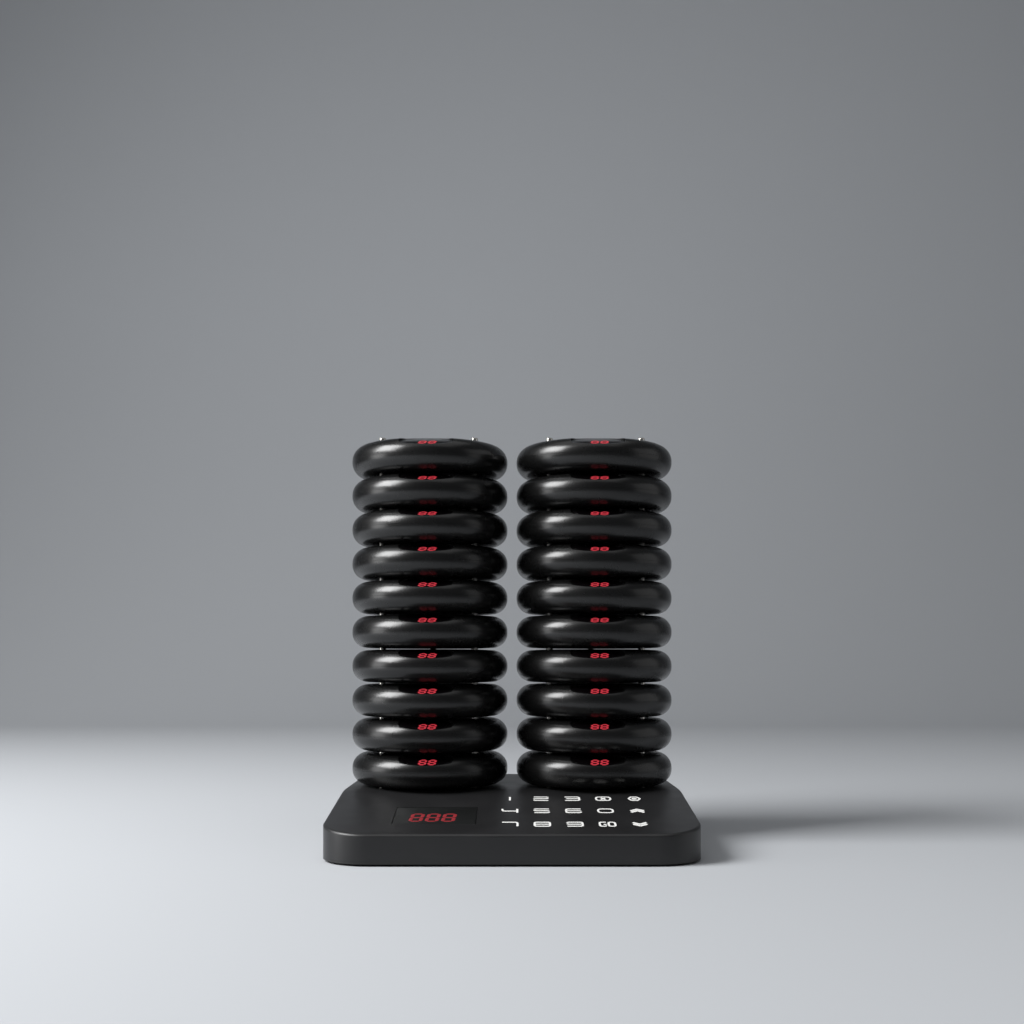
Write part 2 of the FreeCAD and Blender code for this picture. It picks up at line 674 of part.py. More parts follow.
def revolve(body, outline):
    """A full turn of a sketch about its own upright axis."""
    made = body.newObject("PartDesign::Revolution", outline.Name + "_turn")
    made.Profile = outline
    made.ReferenceAxis = (outline, ["V_Axis"])
    made.Angle = 360
    doc.recompute()
    return made


def build_power():
    """The inlet and the switch in the rear recess."""
    body_start = f"{RECESS_FLOOR} - sizes.jack_length"
    barrel = rearward("jack_barrel", "sizes.jack_radius", "sizes.jack_length + sizes.jack_flange_thickness",
                      "sizes.jack_x", body_start)
    collar = rearward("jack_collar", "sizes.jack_flange_radius", "sizes.jack_flange_thickness",
                      "sizes.jack_x", RECESS_FLOOR)
    mouth = f"{RECESS_FLOOR} + sizes.jack_flange_thickness"
    bore = rearward("jack_bore", "sizes.jack_bore_radius", f"sizes.jack_bore_depth + {OVERRUN}",
                    "sizes.jack_x", f"{mouth} - sizes.jack_bore_depth")
    pin = rearward("jack_pin", "sizes.jack_pin_radius", "sizes.jack_bore_depth",
                   "sizes.jack_x", f"{mouth} - sizes.jack_bore_depth - {OVERRUN}")
    hollow = cut("jack_hollow", fuse("jack_solid", barrel, collar), bore)
    node(fuse("power_jack", hollow, pin), "power_jack")

    frame = switch_block("switch_frame", "sizes.switch_length", "sizes.switch_height",
                         "sizes.switch_depth", f"{RECESS_FLOOR} - sizes.switch_depth")
    bezel = switch_block("switch_bezel", "sizes.switch_bezel_length", "sizes.switch_bezel_height",
                         "sizes.switch_bezel_thickness", RECESS_FLOOR)
    face = f"({RECESS_FLOOR} + sizes.switch_bezel_thickness)"
    well = switch_block("switch_well", "sizes.switch_well_length", "sizes.switch_well_height",
                        f"sizes.switch_well_depth + {OVERRUN}", f"{face} - sizes.switch_well_depth")
    pivot_y = f"({face} - sizes.rocker_pivot_depth)"
    bearing_length = "(sizes.rocker_height + 2 * (sizes.rocker_pin_length + sizes.rocker_pin_clearance))"
    bearing_radius = "sizes.rocker_pin_radius + sizes.rocker_pin_clearance"
    bearing = cylinder("switch_bearing", bearing_radius, bearing_length,
                       "sizes.switch_x", pivot_y, f"sizes.recess_level - {bearing_length} / 2")
    openings = fuse("switch_openings", well, bearing)
    node(cut("switch_body", fuse("switch_solid", frame, bezel), openings), "switch_body")

    rocker = doc.addObject("PartDesign::Body", "rocker_blade")
    end, rise = "sizes.rocker_half_length", "sizes.rocker_end_rise"
    keel = "sizes.rocker_keel"
    corners = [
        (f"-{end}", rise),
        (f"-{end} * 7 / 8", f"-{keel} / 3"),
        (f"-{end} / 4", f"-{keel}"),
        (f"{end} / 4", f"-{keel}"),
        (f"{end} * 7 / 8", f"-{keel} / 3"),
        (end, rise),
        ("0", "sizes.rocker_middle_rise"),
    ]
    outline = polygon_sketch(rocker, "rocker_outline", "XY_Plane", corners)
    pad(rocker, outline, "sizes.rocker_height", symmetric=True)
    pins_length = "(sizes.rocker_height + 2 * sizes.rocker_pin_length)"
    pins = cylinder("rocker_pins", "sizes.rocker_pin_radius", pins_length, z=f"-{pins_length} / 2")
    tilted = group("switch_rocker", fuse("rocker_solid", rocker, pins))
    place(tilted, "sizes.switch_x", pivot_y, "sizes.recess_level", (0, 0, 1), "-sizes.rocker_tilt")
    node(tilted, "switch_rocker")


def case_half_sketch(body, nose_radius, band_height):
    """Half of a case shell's section, hollow side down.

    It has a level top, a shoulder arc, a tight nose arc and an upright band, and the same drawn in by the wall.
    """
    sketch = body.newObject("Sketcher::SketchObject", body.Name + "_half")
    sketch.AttachmentSupport = [(origin_feature(body, "XZ_Plane"), "")]
    sketch.MapMode = "FlatFace"
    top, flat = number("sizes.pager_height"), number("sizes.pager_flat_radius")
    rim, nose, band = number("sizes.pager_radius"), number(nose_radius), number(band_height)
    wall, middle = number("sizes.pager_wall"), top / 2
    # The shoulder's radius follows from being tangent to the level top and to the nose
    span, rise = rim - flat, top - middle - band
    shoulder = (span**2 - 2 * span * nose + rise**2) / (2 * (rise - nose))
    low = FreeCAD.Vector(flat, top - shoulder, 0)
    near = FreeCAD.Vector(rim - nose, middle + band, 0)
    join = math.atan2(near.y - low.y, near.x - low.x)
    up = FreeCAD.Vector(0, 0, 1)

    def arc(centre, radius, first, last):
        return Part.ArcOfCircle(Part.Circle(centre, up, radius), first, last)

    def line(x1, y1, x2, y2):
        return Part.LineSegment(FreeCAD.Vector(x1, y1, 0), FreeCAD.Vector(x2, y2, 0))

    pieces = [
        line(0, top, flat, top),
        arc(low, shoulder, join, math.pi / 2),
        arc(near, nose, 0, join),
        line(rim, middle + band, rim, middle),
        line(rim, middle, rim - wall, middle),
        line(rim - wall, middle, rim - wall, middle + band),
        arc(near, nose - wall, 0, join),
        arc(low, shoulder - wall, join, math.pi / 2),
        line(flat, top - wall, 0, top - wall),
        line(0, top - wall, 0, top),
    ]
    (top_line, shoulder_arc, nose_arc, band, parting,
     band_in, nose_in, shoulder_in, ceiling, axis_line) = range(len(pieces))
    for piece in pieces:
        sketch.addGeometry(piece, False)
    start, end, centre, origin, x_axis_end = 1, 2, 3, -1, 1
    constraints = [
        ("Tangent", top_line, end, shoulder_arc, end),
        ("Tangent", shoulder_arc, start, nose_arc, end),
        ("Tangent", nose_arc, start, band, start),
        ("Coincident", band, end, parting, start),
        ("Coincident", parting, end, band_in, start),
        ("Tangent", band_in, end, nose_in, start),
        ("Tangent", nose_in, end, shoulder_in, start),
        ("Tangent", shoulder_in, end, ceiling, start),
        ("Coincident", ceiling, end, axis_line, start),
        ("Coincident", axis_line, end, top_line, start),
        ("Coincident", nose_in, centre, nose_arc, centre),
        ("Coincident", shoulder_in, centre, shoulder_arc, centre),
        ("PointOnObject", top_line, start, -2),
        ("PointOnObject", ceiling, end, -2),
        ("Horizontal", top_line),
        ("Horizontal", parting),
        ("Horizontal", ceiling),
        ("Vertical", band),
        ("Vertical", band_in),
    ]
    for constraint in constraints:
        sketch.addConstraint(Sketcher.Constraint(*constraint))
    sized = [
        ("DistanceY", (origin, x_axis_end, top_line, start), "sizes.pager_height"),
        ("DistanceX", (origin, x_axis_end, top_line, end), "sizes.pager_flat_radius"),
        ("DistanceX", (origin, x_axis_end, parting, start), "sizes.pager_radius"),
        ("DistanceY", (origin, x_axis_end, parting, start), "sizes.pager_height / 2"),
        ("DistanceY", (origin, x_axis_end, nose_arc, centre), f"sizes.pager_height / 2 + {band_height}"),
        ("DistanceX", (parting, end, parting, start), "sizes.pager_wall"),
        ("Radius", (nose_arc,), nose_radius),
    ]
    for kind, places, expression in sized:
        index = sketch.addConstraint(Sketcher.Constraint(kind, *places, number(expression)))
        sketch.setExpression(f"Constraints[{index}]", expression)
    return sketch


def case_shell(name, nose_radius, band_height):
    """A turned case shell, hollow side down."""
    shell = doc.addObject("PartDesign::Body", name)
    revolve(shell, case_half_sketch(shell, nose_radius, band_height))
    return shell


def facet_prism(name, kind, grow, low, high):
    """An elliptical block square to the facet, in the outline of the pane or of the facet, grown by some way."""
    outline = bind(
        doc.addObject("Part::Ellipse", name + "_outline"),
        MajorRadius=f"sizes.{kind}_half_length + {grow}",
        MinorRadius=f"sizes.{kind}_half_width + {grow}",
    )
    block = doc.addObject("Part::Extrusion", name)
    block.Base = outline
    block.DirMode = "Custom"
    block.Dir = FreeCAD.Vector(0, 0, 1)
    block.Solid = True
    return bind(block, LengthFwd=high, LengthRev=low)


def build_pager_pieces():
    """One pager's pieces about its own axis, standing on z = 0, which every pager repeats."""
    upper_shell = case_shell("pager_upper_shell", "sizes.pager_upper_nose", "sizes.pager_upper_band")
    lower_shell = case_shell("pager_lower_shell", "sizes.pager_lower_nose", "sizes.pager_lower_band")
    hole = "sizes.contact_radius + sizes.contact_clearance"
    pad_hole = "sizes.contact_pad_radius + sizes.contact_clearance"
    pad_top = "(sizes.contact_pad_recess + sizes.contact_pad_thickness)"
    over = f"sizes.pager_height + 2 * {OVERRUN}"
    half_wall = "sizes.pager_wall / 2"
    passages, sockets, bosses, posts = [], [], [], []
    for i, (x, y) in enumerate(contact_places(), start=1):
        passages.append(cylinder(f"pager_passage_{i}", hole, over, x, y, f"-{OVERRUN}"))
        socket_height = f"{OVERRUN} + {pad_top} + sizes.contact_clearance"
        sockets.append(cylinder(f"pager_socket_{i}", pad_hole, socket_height, x, y, f"-{OVERRUN}"))
        boss_height = f"sizes.pager_board_level - {half_wall}"
        bosses.append(
            cylinder(f"pager_boss_{i}", "sizes.contact_boss_radius", boss_height, x, y, half_wall)
        )
        post = contact_post(
            f"pager_post_{i}",
            PITCH,
            "sizes.contact_pad_radius",
            "sizes.contact_pad_thickness",
        )
        posts.append(place(post, x, y, "sizes.contact_pad_recess"))
    # The frame stops inside the wall, and the window rests on the ledge that its narrower opening leaves
    frame_block = on_facet("pane_frame_block", facet_prism("pane_frame_prism", "facet", "0",
                                                           "sizes.pane_frame_thickness", "0"))
    frame_reach = cylinder("pane_frame_reach", f"sizes.pager_radius - {half_wall}", "sizes.pager_height")
    framed = fuse("upper_case_solid", upper_shell, common("pane_frame", frame_block, frame_reach))
    facet_tools = on_facet(
        "facet_tools",
        facet_prism("facet_space", "facet", "0", "0", "sizes.pager_height"),
        facet_prism("pane_seat", "pane", "sizes.pane_clearance", "sizes.pane_thickness", f"{OVERRUN}"),
        facet_prism("pane_opening", "pane", "(-sizes.pane_ledge)", "2 * sizes.pane_frame_thickness", "0"),
    )
    upper_tools = fuse("upper_case_tools", facet_tools, *passages)
    pieces = {"upper_case": cut("upper_case", framed, upper_tools)}

    mirrored = doc.addObject("Part::Mirroring", "pager_lower_shell_mirrored")
    mirrored.Source = lower_shell
    mirrored.Normal = FreeCAD.Vector(0, 0, 1)
    mirrored.setExpression("Base.z", "sizes.pager_height / 2")
    solid = fuse("lower_case_solid", mirrored, *bosses)
    pieces["lower_case"] = cut("lower_case", solid, fuse("lower_case_tools", *passages, *sockets))

    pane = facet_prism("pane", "pane", "0", "sizes.pane_thickness", "0")
    pieces["display_window"] = on_facet("display_window", pane)

    board = cylinder("board_disc", "sizes.pager_board_radius", "sizes.pager_board_thickness",
                     z="sizes.pager_board_level")
    pieces["circuit_board"] = cut("circuit_board", board, fuse("board_passages", *passages))
    board_top = "(sizes.pager_board_level + sizes.pager_board_thickness)"
    pieces["battery"] = centred_box(
        "battery", "sizes.battery_length", "sizes.battery_width", "sizes.battery_thickness",
        "0", "sizes.battery_setback", "sizes.pager_wall",
    )
    pieces["vibration_motor"] = cylinder("vibration_motor", "sizes.motor_radius", "sizes.motor_height",
                                         "sizes.motor_x", "sizes.motor_y", board_top)
    digits = doc.addObject("PartDesign::Body", "digit_display")

    def under_pane(distance):
        """Height of the plane just under the window, at a distance in front of the axis."""
        drop = f"({distance} - sizes.facet_start) * tan(sizes.facet_tilt)"
        slab = "(sizes.pane_thickness + sizes.led_window_gap) / cos(sizes.facet_tilt)"
        return f"(sizes.pager_height - {drop} - {slab})"

    corners = [
        ("-sizes.digits_front", board_top),
        ("-sizes.digits_rear", board_top),
        ("-sizes.digits_rear", under_pane("sizes.digits_rear")),
        ("-sizes.digits_front", under_pane("sizes.digits_front")),
    ]
    outline = polygon_sketch(digits, "digit_display_side", "YZ_Plane", corners)
    pad(digits, outline, "2 * sizes.digits_half_length", symmetric=True)
    pieces["digit_display"] = digits
    pieces["contact_studs"] = group("contact_studs", *posts)
    return pieces


def build_pagers():
    """Twenty pagers in two stacks: one with a node for each piece, the others with one case and one core."""
    pieces = build_pager_pieces()
    case = ("upper_case", "lower_case", "display_window")
    core = [name for name in pieces if name not in case]
    for stack, centre_x in STACKS.items():
        for rank in range(1, PAGERS_PER_STACK + 1):
            if (stack, rank) == OPEN_PAGER:
                parts = {name: [name] for name in pieces}
            else:
                parts = {"case": case, "core": core}
            for part, names in parts.items():
                name = f"pager_{stack}_{rank:02d}_{part}"
                made = group(name, *[pieces[piece] for piece in names])
                place(made, centre_x, STACK_Y, f"{STACK_FOOT} + {rank - 1} * {PITCH}")
                node(made, name)


def check_and_write():
    """Stops on any failed object or shape, then writes a file for each node."""
    doc.recompute()
    failed = [o.Name for o in doc.Objects if "Invalid" in o.State or "Error" in o.State]
    for name, made in NODES.items():
        if made.Shape.isNull() or not made.Shape.isValid() or not made.Shape.Solids:
            failed.append(name)
    if failed:
        raise RuntimeError(f"failed: {failed}")
    os.makedirs("parts", exist_ok=True)
    for name, made in NODES.items():
        made.Shape.exportStep(f"parts/{name}.step")


build_top_cover()
build_bottom_cover()
build_base_fasteners()
build_console()
build_charging()
build_power()
build_pagers()
check_and_write()
print(f"{len(NODES)} nodes, {sum(len(o.Shape.Solids) for o in NODES.values())} solids")
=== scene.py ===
"""Looks of a guest pager system: a charging and calling base with two stacks of round pagers.

Sizes are in millimetres and are turned to metres when a mesh is made. +Z is up and the panel faces -Y.
"""

import logging
import math
from collections.abc import Callable
from dataclasses import dataclass, field
from enum import Enum

import bpy
import numpy as np
from mathutils import Matrix, Vector


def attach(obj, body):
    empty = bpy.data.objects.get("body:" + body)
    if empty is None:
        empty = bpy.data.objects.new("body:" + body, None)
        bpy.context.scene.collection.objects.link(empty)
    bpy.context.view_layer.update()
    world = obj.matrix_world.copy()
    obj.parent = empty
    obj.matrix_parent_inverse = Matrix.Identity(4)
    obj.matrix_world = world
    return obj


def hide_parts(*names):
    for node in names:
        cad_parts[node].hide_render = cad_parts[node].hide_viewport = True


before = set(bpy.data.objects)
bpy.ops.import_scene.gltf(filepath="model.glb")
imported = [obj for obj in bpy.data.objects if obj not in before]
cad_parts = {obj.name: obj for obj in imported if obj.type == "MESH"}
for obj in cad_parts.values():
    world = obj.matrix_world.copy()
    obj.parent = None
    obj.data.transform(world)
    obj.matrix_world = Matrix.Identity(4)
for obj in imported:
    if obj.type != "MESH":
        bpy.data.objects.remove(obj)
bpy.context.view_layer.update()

logging.basicConfig(level=logging.INFO, format="%(message)s")
LOG = logging.getLogger("pagers")
METRE = 0.001  # metres in a millimetre
MERGE_DISTANCE = 1e-5  # millimetres
CRISP_ANGLE = 32.0  # degrees
HALVINGS = 40
CREASE_POINTS = 9
PAGERS_PER_STACK = 10
OPEN_PAGER = "pager_left_10"


# Surfaces


@dataclass
class Skin:
    """Points and faces of one mesh, gathered from several surfaces."""

    points: list[np.ndarray] = field(default_factory=list)
    faces: list[list[int]] = field(default_factory=list)
    count: int = 0

    def add(self, points: np.ndarray, faces: list[list[int]]) -> "Skin":
        """Adds one surface.

        Args:
            points: its points, one row each.
            faces: its faces, as indices into those points.

        Returns:
            This skin.
        """
        self.points.append(np.asarray(points, float))
        self.faces += [[index + self.count for index in face] for face in faces]
        self.count += len(points)
        return self

    def join(self, other: "Skin") -> "Skin":
        """Adds all of another skin and returns this one."""
        return self.add(np.concatenate(other.points), other.faces)

    def moved(self, offset: tuple[float, float, float]) -> "Skin":
        """A copy of this skin, shifted by an offset."""
        return Skin([np.concatenate(self.points) + np.array(offset)], self.faces, self.count)

    def mesh(self, name: str) -> bpy.types.Mesh:
        """Merges points that coincide and makes the mesh, in metres, smooth between its crisp edges."""
        points = np.concatenate(self.points)
        rounded = np.round(points / MERGE_DISTANCE).astype(np.int64)
        _, first, slot = np.unique(rounded, axis=0, return_index=True, return_inverse=True)
        slot = slot.reshape(-1)
        faces = []
        for face in self.faces:
            ring = [int(slot[i]) for i in face]
            ring = [v for k, v in enumerate(ring) if v != ring[k - 1]]
            if len(set(ring)) >= 3:
                faces.append(ring)
        mesh = bpy.data.meshes.new(name)
        mesh.from_pydata((points[first] * METRE).tolist(), [], faces)
        mesh.validate()
        return smoothed(mesh)

    def placed(self, name: str, at: tuple[float, float, float]) -> bpy.types.Mesh:
        """The mesh of this skin, moved to a place."""
        return self.moved(at).mesh(name)


@dataclass
class Carved:
    """A carved mesh that is used at several places."""

    form: bpy.types.Mesh

    def placed(self, name: str, at: tuple[float, float, float]) -> bpy.types.Mesh:
        """A copy of the mesh under a name, moved to a place."""
        mesh = self.form.copy()
        mesh.name = name
        mesh.transform(Matrix.Translation(Vector(at) * METRE))
        return mesh


def smoothed(mesh: bpy.types.Mesh) -> bpy.types.Mesh:
    """Shades a mesh smoothly between its crisp edges."""
    mesh.polygons.foreach_set("use_smooth", np.ones(len(mesh.polygons), bool))
    mesh.set_sharp_from_angle(angle=math.radians(CRISP_ANGLE))
    mesh.update()
    return mesh


def grid(rows: np.ndarray, closed: bool = True, flip: bool = False) -> Skin:
    """Faces between rows of points: row by row, and round each row where it is closed.

    Args:
        rows: points in an array of rows by columns by 3.
        closed: whether the last column meets the first.
        flip: whether the faces look the other way.

    Returns:
        The surface.
    """
    count, across = rows.shape[:2]
    across_faces = across if closed else across - 1
    row, column = np.meshgrid(np.arange(count - 1), np.arange(across_faces), indexing="ij")
    after = (column + 1) % across
    quads = np.stack([row * across + column, row * across + after,
                      (row + 1) * across + after, (row + 1) * across + column], axis=-1).reshape(-1, 4)
    if flip:
        quads = quads[:, ::-1]
    return Skin().add(rows.reshape(-1, 3), quads.tolist())


def cap(ring: np.ndarray, flip: bool = False) -> Skin:
    """One flat face on a closed ring of points."""
    order = list(range(len(ring)))
    return Skin().add(ring, [order[::-1] if flip else order])


def make_object(name: str, mesh: bpy.types.Mesh) -> bpy.types.Object:
    """Puts a mesh in the scene as an object at the origin."""
    made = bpy.data.objects.new(name, mesh)
    bpy.context.scene.collection.objects.link(made)
    return made


def carve(mesh: bpy.types.Mesh, tool: bpy.types.Mesh, operation: str = "DIFFERENCE") -> bpy.types.Mesh:
    """Cuts a tool out of a mesh, or joins it on.

    Args:
        mesh: the closed mesh that is changed.
        tool: the other closed mesh.
        operation: DIFFERENCE or UNION.

    Returns:
        A new mesh with the result.
    """
    base, other = make_object("carved", mesh), make_object("carver", tool)
    modifier = base.modifiers.new("carve", "BOOLEAN")
    modifier.object, modifier.operation, modifier.solver = other, operation, "EXACT"
    bpy.context.view_layer.update()
    result = bpy.data.meshes.new_from_object(base.evaluated_get(bpy.context.evaluated_depsgraph_get()))
    bpy.data.objects.remove(base)
    bpy.data.objects.remove(other)
    return smoothed(result)


@dataclass(frozen=True)
class Outline:
    """A closed flat line with its outward normals, anticlockwise from above."""

    points: np.ndarray
    normals: np.ndarray

    def inset(self, distance: float) -> np.ndarray:
        """The line drawn in by a distance."""
        return self.points - distance * self.normals

    def loft(self, profile: list[tuple[float, float]]) -> Skin:
        """Carries the line through insets and heights, from the lower middle round the outside to the top.

        Args:
            profile: pairs of an inset and a height, from below to above.

        Returns:
            The closed surface, with a flat face at each end.
        """
        count = len(self.points)
        rings = np.stack([np.column_stack([self.inset(d), np.full(count, z)]) for d, z in profile])
        return grid(rings).join(cap(rings[0], flip=True)).join(cap(rings[-1]))


def ellipse(half_length: float, half_width: float, count: int,
            centre: tuple[float, float] = (0.0, 0.0)) -> Outline:
    """An ellipse: half axes times the cosine and sine of a turn; its normals lean by the other half axis."""
    turn = np.linspace(0, 2 * np.pi, count, endpoint=False)
    points = np.column_stack([half_length * np.cos(turn), half_width * np.sin(turn)])
    normals = np.column_stack([half_width * np.cos(turn), half_length * np.sin(turn)])
    return Outline(points + np.array(centre), normals / np.linalg.norm(normals, axis=1, keepdims=True))


def rectangle(low: tuple[float, ...], high: tuple[float, ...]) -> np.ndarray:
    """The corners of an upright rectangle, anticlockwise."""
    return np.array([(low[0], low[1]), (high[0], low[1]), (high[0], high[1]), (low[0], high[1])], float)


def rounded_polygon(corners: np.ndarray, radius: float, steps: int,
                    stops: tuple[float, ...] = ()) -> Outline:
    """A convex polygon with round corners.

    Each corner's arc is centred where the two sides meet after both are moved in by the radius, and it turns
    from one side's normal to the next one's. Stops add a point wherever a side crosses those values of y.

    Args:
        corners: the polygon's corners, anticlockwise.
        radius: the corner radius.
        steps: points in each arc.
        stops: values of y at which the sides get a point.

    Returns:
        The outline.
    """
    points, normals = [], []
    count = len(corners)
    sides = np.roll(corners, -1, axis=0) - corners
    sides /= np.linalg.norm(sides, axis=1, keepdims=True)
    outward = np.column_stack([sides[:, 1], -sides[:, 0]])
    for index in range(count):
        before, after = outward[index - 1], outward[index]
        centre = corners[index] - radius * (before + after) / (1 + before @ after)
        first = math.atan2(before[1], before[0])
        swing = math.acos(np.clip(before @ after, -1, 1))
        turn = first + np.linspace(0, swing, steps)
        arc = np.column_stack([np.cos(turn), np.sin(turn)])
        points.append(centre + radius * arc)
        normals.append(arc)
        start = centre + radius * after
        following = outward[(index + 1) % count]
        corner = corners[(index + 1) % count]
        end = corner - radius * (after + following) / (1 + after @ following) + radius * after
        climb = end[1] - start[1]
        shares = [(y - start[1]) / climb for y in stops if abs(climb) > 1]
        for share in sorted(s for s in shares if 0.001 < s < 0.999):
            points.append((start + share * (end - start))[None])
            normals.append(after[None])
    return Outline(np.concatenate(points), np.concatenate(normals))


@dataclass(frozen=True)
class Plane:
    """A flat working plane: an origin, a sideways axis, an axis up the slope and the normal."""

    origin: tuple[float, float, float]
    tilt: float

    def out(self, points: np.ndarray) -> np.ndarray:
        """Turns points drawn flat (x sideways, y up the slope, z out of it) into their place."""
        c, s = math.cos(math.radians(self.tilt)), math.sin(math.radians(self.tilt))
        turned = np.column_stack([points[:, 0], c * points[:, 1] - s * points[:, 2],
                                  s * points[:, 1] + c * points[:, 2]])
        return turned + np.array(self.origin)

    def skin(self, flat: Skin) -> Skin:
        """A skin drawn flat, set in place."""
        return Skin([self.out(np.concatenate(flat.points))], flat.faces, flat.count)


def block(low: tuple[float, float, float], high: tuple[float, float, float]) -> Skin:
    """A block between two corners."""
    corners = rectangle(low, high)
    return Outline(corners, np.zeros_like(corners)).loft([(0, low[2]), (0, high[2])])


def ribbon(path: np.ndarray, width: float, height: float, closed: bool) -> Skin:
    """A flat strip of ink along a path.

    At each point the two edges lie half a width to each side, along the mean of the neighbouring sides'
    normals, lengthened so that the strip keeps its width round a corner.

    Args:
        path: points in the plane.
        width: the strip's width.
        height: how far it stands up.
        closed: whether the path returns to its start.

    Returns:
        The closed strip.
    """
    ahead = np.roll(path, -1, axis=0) - path
    behind = path - np.roll(path, 1, axis=0)
    if not closed:
        ahead[-1], behind[0] = behind[-1], ahead[0]
    ahead /= np.linalg.norm(ahead, axis=1, keepdims=True)
    behind /= np.linalg.norm(behind, axis=1, keepdims=True)
    mean = ahead + behind
    mean /= np.linalg.norm(mean, axis=1, keepdims=True)
    sharpest = 0.4
    reach = width / 2 / np.clip((mean * ahead).sum(axis=1, keepdims=True), sharpest, 1)
    side = np.column_stack([-mean[:, 1], mean[:, 0]]) * reach
    low, high = np.zeros((len(path), 1)), np.full((len(path), 1), height)
    corners = [np.hstack([path + side, low]), np.hstack([path - side, low]),
               np.hstack([path - side, high]), np.hstack([path + side, high])]
    rows = np.stack(corners, axis=1)
    if closed:
        return grid(np.concatenate([rows, rows[:1]]), flip=True)
    return grid(rows, flip=True).join(cap(rows[0])).join(cap(rows[-1], flip=True))


def softened(points: list[tuple[float, float]], radius: float, closed: bool) -> np.ndarray:
    """Rounds a path's corners: each becomes a quadratic curve that starts and ends a radius from it."""
    path = np.array(points, float)
    count = len(path)
    parts = [] if closed else [path[:1]]
    share = np.linspace(0, 1, 6)[:, None]
    for index in range(count) if closed else range(1, count - 1):
        corner = path[index]
        back, on = path[index - 1] - corner, path[(index + 1) % count] - corner
        start = corner + back * min(radius / np.linalg.norm(back), 0.5)
        end = corner + on * min(radius / np.linalg.norm(on), 0.5)
        parts.append((1 - share) ** 2 * start + 2 * share * (1 - share) * corner + share**2 * end)
    if not closed:
        parts.append(path[-1:])
    return np.concatenate(parts)


def furthest(holds: Callable[[np.ndarray], np.ndarray], limit: np.ndarray) -> np.ndarray:
    """The largest values below a limit for which a test still holds.

    Args:
        holds: the test, which says for each value whether it holds.
        limit: the largest values that are looked at.

    Returns:
        The values, found by halving the range again and again.
    """
    low, high = np.zeros_like(limit), limit.copy()
    for _ in range(HALVINGS):
        middle = (low + high) / 2
        held = holds(middle)
        low, high = np.where(held, middle, low), np.where(held, high, middle)
    return low


@dataclass(frozen=True)
class Eights:
    """A row of seven-bar eights, whose width and height run between the middles of its bars.

    Each bar is a six-sided strip with pointed ends, and every point is shifted sideways by its height times
    the tangent of the slant, which is in degrees.
    """

    count: int
    pitch: float
    width: float
    height: float
    bar: float
    slant: float
    gap_share: float = 0.12
    proud: float = 0.05

    def bars(self) -> list[tuple[np.ndarray, np.ndarray]]:
        """The ends of an eight's seven bars, about its own middle."""
        x, y = self.width / 2, self.height / 2
        level = [((-x, v), (x, v)) for v in (-y, 0, y)]
        upright = [((u, v), (u, v + y)) for u in (-x, x) for v in (-y, 0)]
        return [(np.array(first, float), np.array(last, float)) for first, last in level + upright]

    def skin(self) -> Skin:
        """The bars, each a closed strip, drawn flat about the origin."""
        gap, skin = self.bar * self.gap_share, Skin()
        for index in range(self.count):
            shift = (index - (self.count - 1) / 2) * self.pitch
            for start, end in self.bars():
                along = (end - start) / np.linalg.norm(end - start)
                across = np.array([-along[1], along[0]]) * self.bar / 2
                tip = along * self.bar / 2
                start, end = start + along * gap, end - along * gap
                ring = np.array([start, start + tip - across, end - tip - across,
                                 end, end - tip + across, start + tip + across])
                ring[:, 0] += shift + ring[:, 1] * math.tan(math.radians(self.slant))
                spokes = ring - ring.mean(axis=0)
                outline = Outline(ring, spokes / np.linalg.norm(spokes, axis=1, keepdims=True))
                skin.join(outline.loft([(0, 0), (0, 0.6 * self.proud), (self.proud * self.bar, self.proud)]))
        return skin

    def on(self, plane: Plane, place: tuple[float, float, float]) -> Skin:
        """The row, set at a place on a plane."""
        origin = plane.out(np.array([place]))[0]
        return Plane(tuple(origin), plane.tilt).skin(self.skin())


# Finishes


def linear(colour: str) -> tuple[float, float, float, float]:
    """Turns an sRGB hex colour into the linear one that shaders take."""
    parts = [int(colour[i:i + 2], 16) / 255 for i in (1, 3, 5)]
    return (*(c / 12.92 if c <= 0.04045 else ((c + 0.055) / 1.055) ** 2.4 for c in parts), 1.0)


def add_node(tree: bpy.types.NodeTree, kind: str, settings: dict | None = None,
             links: dict | None = None) -> bpy.types.Node:
    """Adds a node to a material.

    Args:
        tree: the material's node tree.
        kind: the node's type.
        settings: properties and input values by name, or by number for an input.
        links: output sockets by the input that they feed.

    Returns:
        The node.
    """
    made = tree.nodes.new(kind)
    for name, value in (settings or {}).items():
        if isinstance(name, int) or name in made.inputs:
            made.inputs[name].default_value = value
        else:
            setattr(made, name, value)
    for name, source in (links or {}).items():
        tree.links.new(source, made.inputs[name])
    return made


def patches(tree: bpy.types.NodeTree, size_mm: float, detail: float) -> bpy.types.NodeSocket:
    """Noise over the object, with patches of a size in millimetres."""
    place = add_node(tree, "ShaderNodeTexCoord").outputs["Object"]
    return add_node(tree, "ShaderNodeTexNoise", {"Scale": 1 / (METRE * size_mm), "Detail": detail},
                    {"Vector": place}).outputs["Fac"]


def blend(tree: bpy.types.NodeTree, share: bpy.types.NodeSocket, first: str,
          second: str) -> bpy.types.NodeSocket:
    """A colour that runs from one sRGB hex colour to another."""
    ends = {"data_type": "RGBA", 6: linear(first), 7: linear(second)}
    return add_node(tree, "ShaderNodeMix", ends, {0: share}).outputs[2]


def new_material(name: str) -> tuple[bpy.types.Material, bpy.types.NodeTree, bpy.types.Node]:
    """A new material, with its node tree and its shader."""
    made = bpy.data.materials.new(name)
    made.use_nodes = True
    return made, made.node_tree, made.node_tree.nodes["Principled BSDF"]


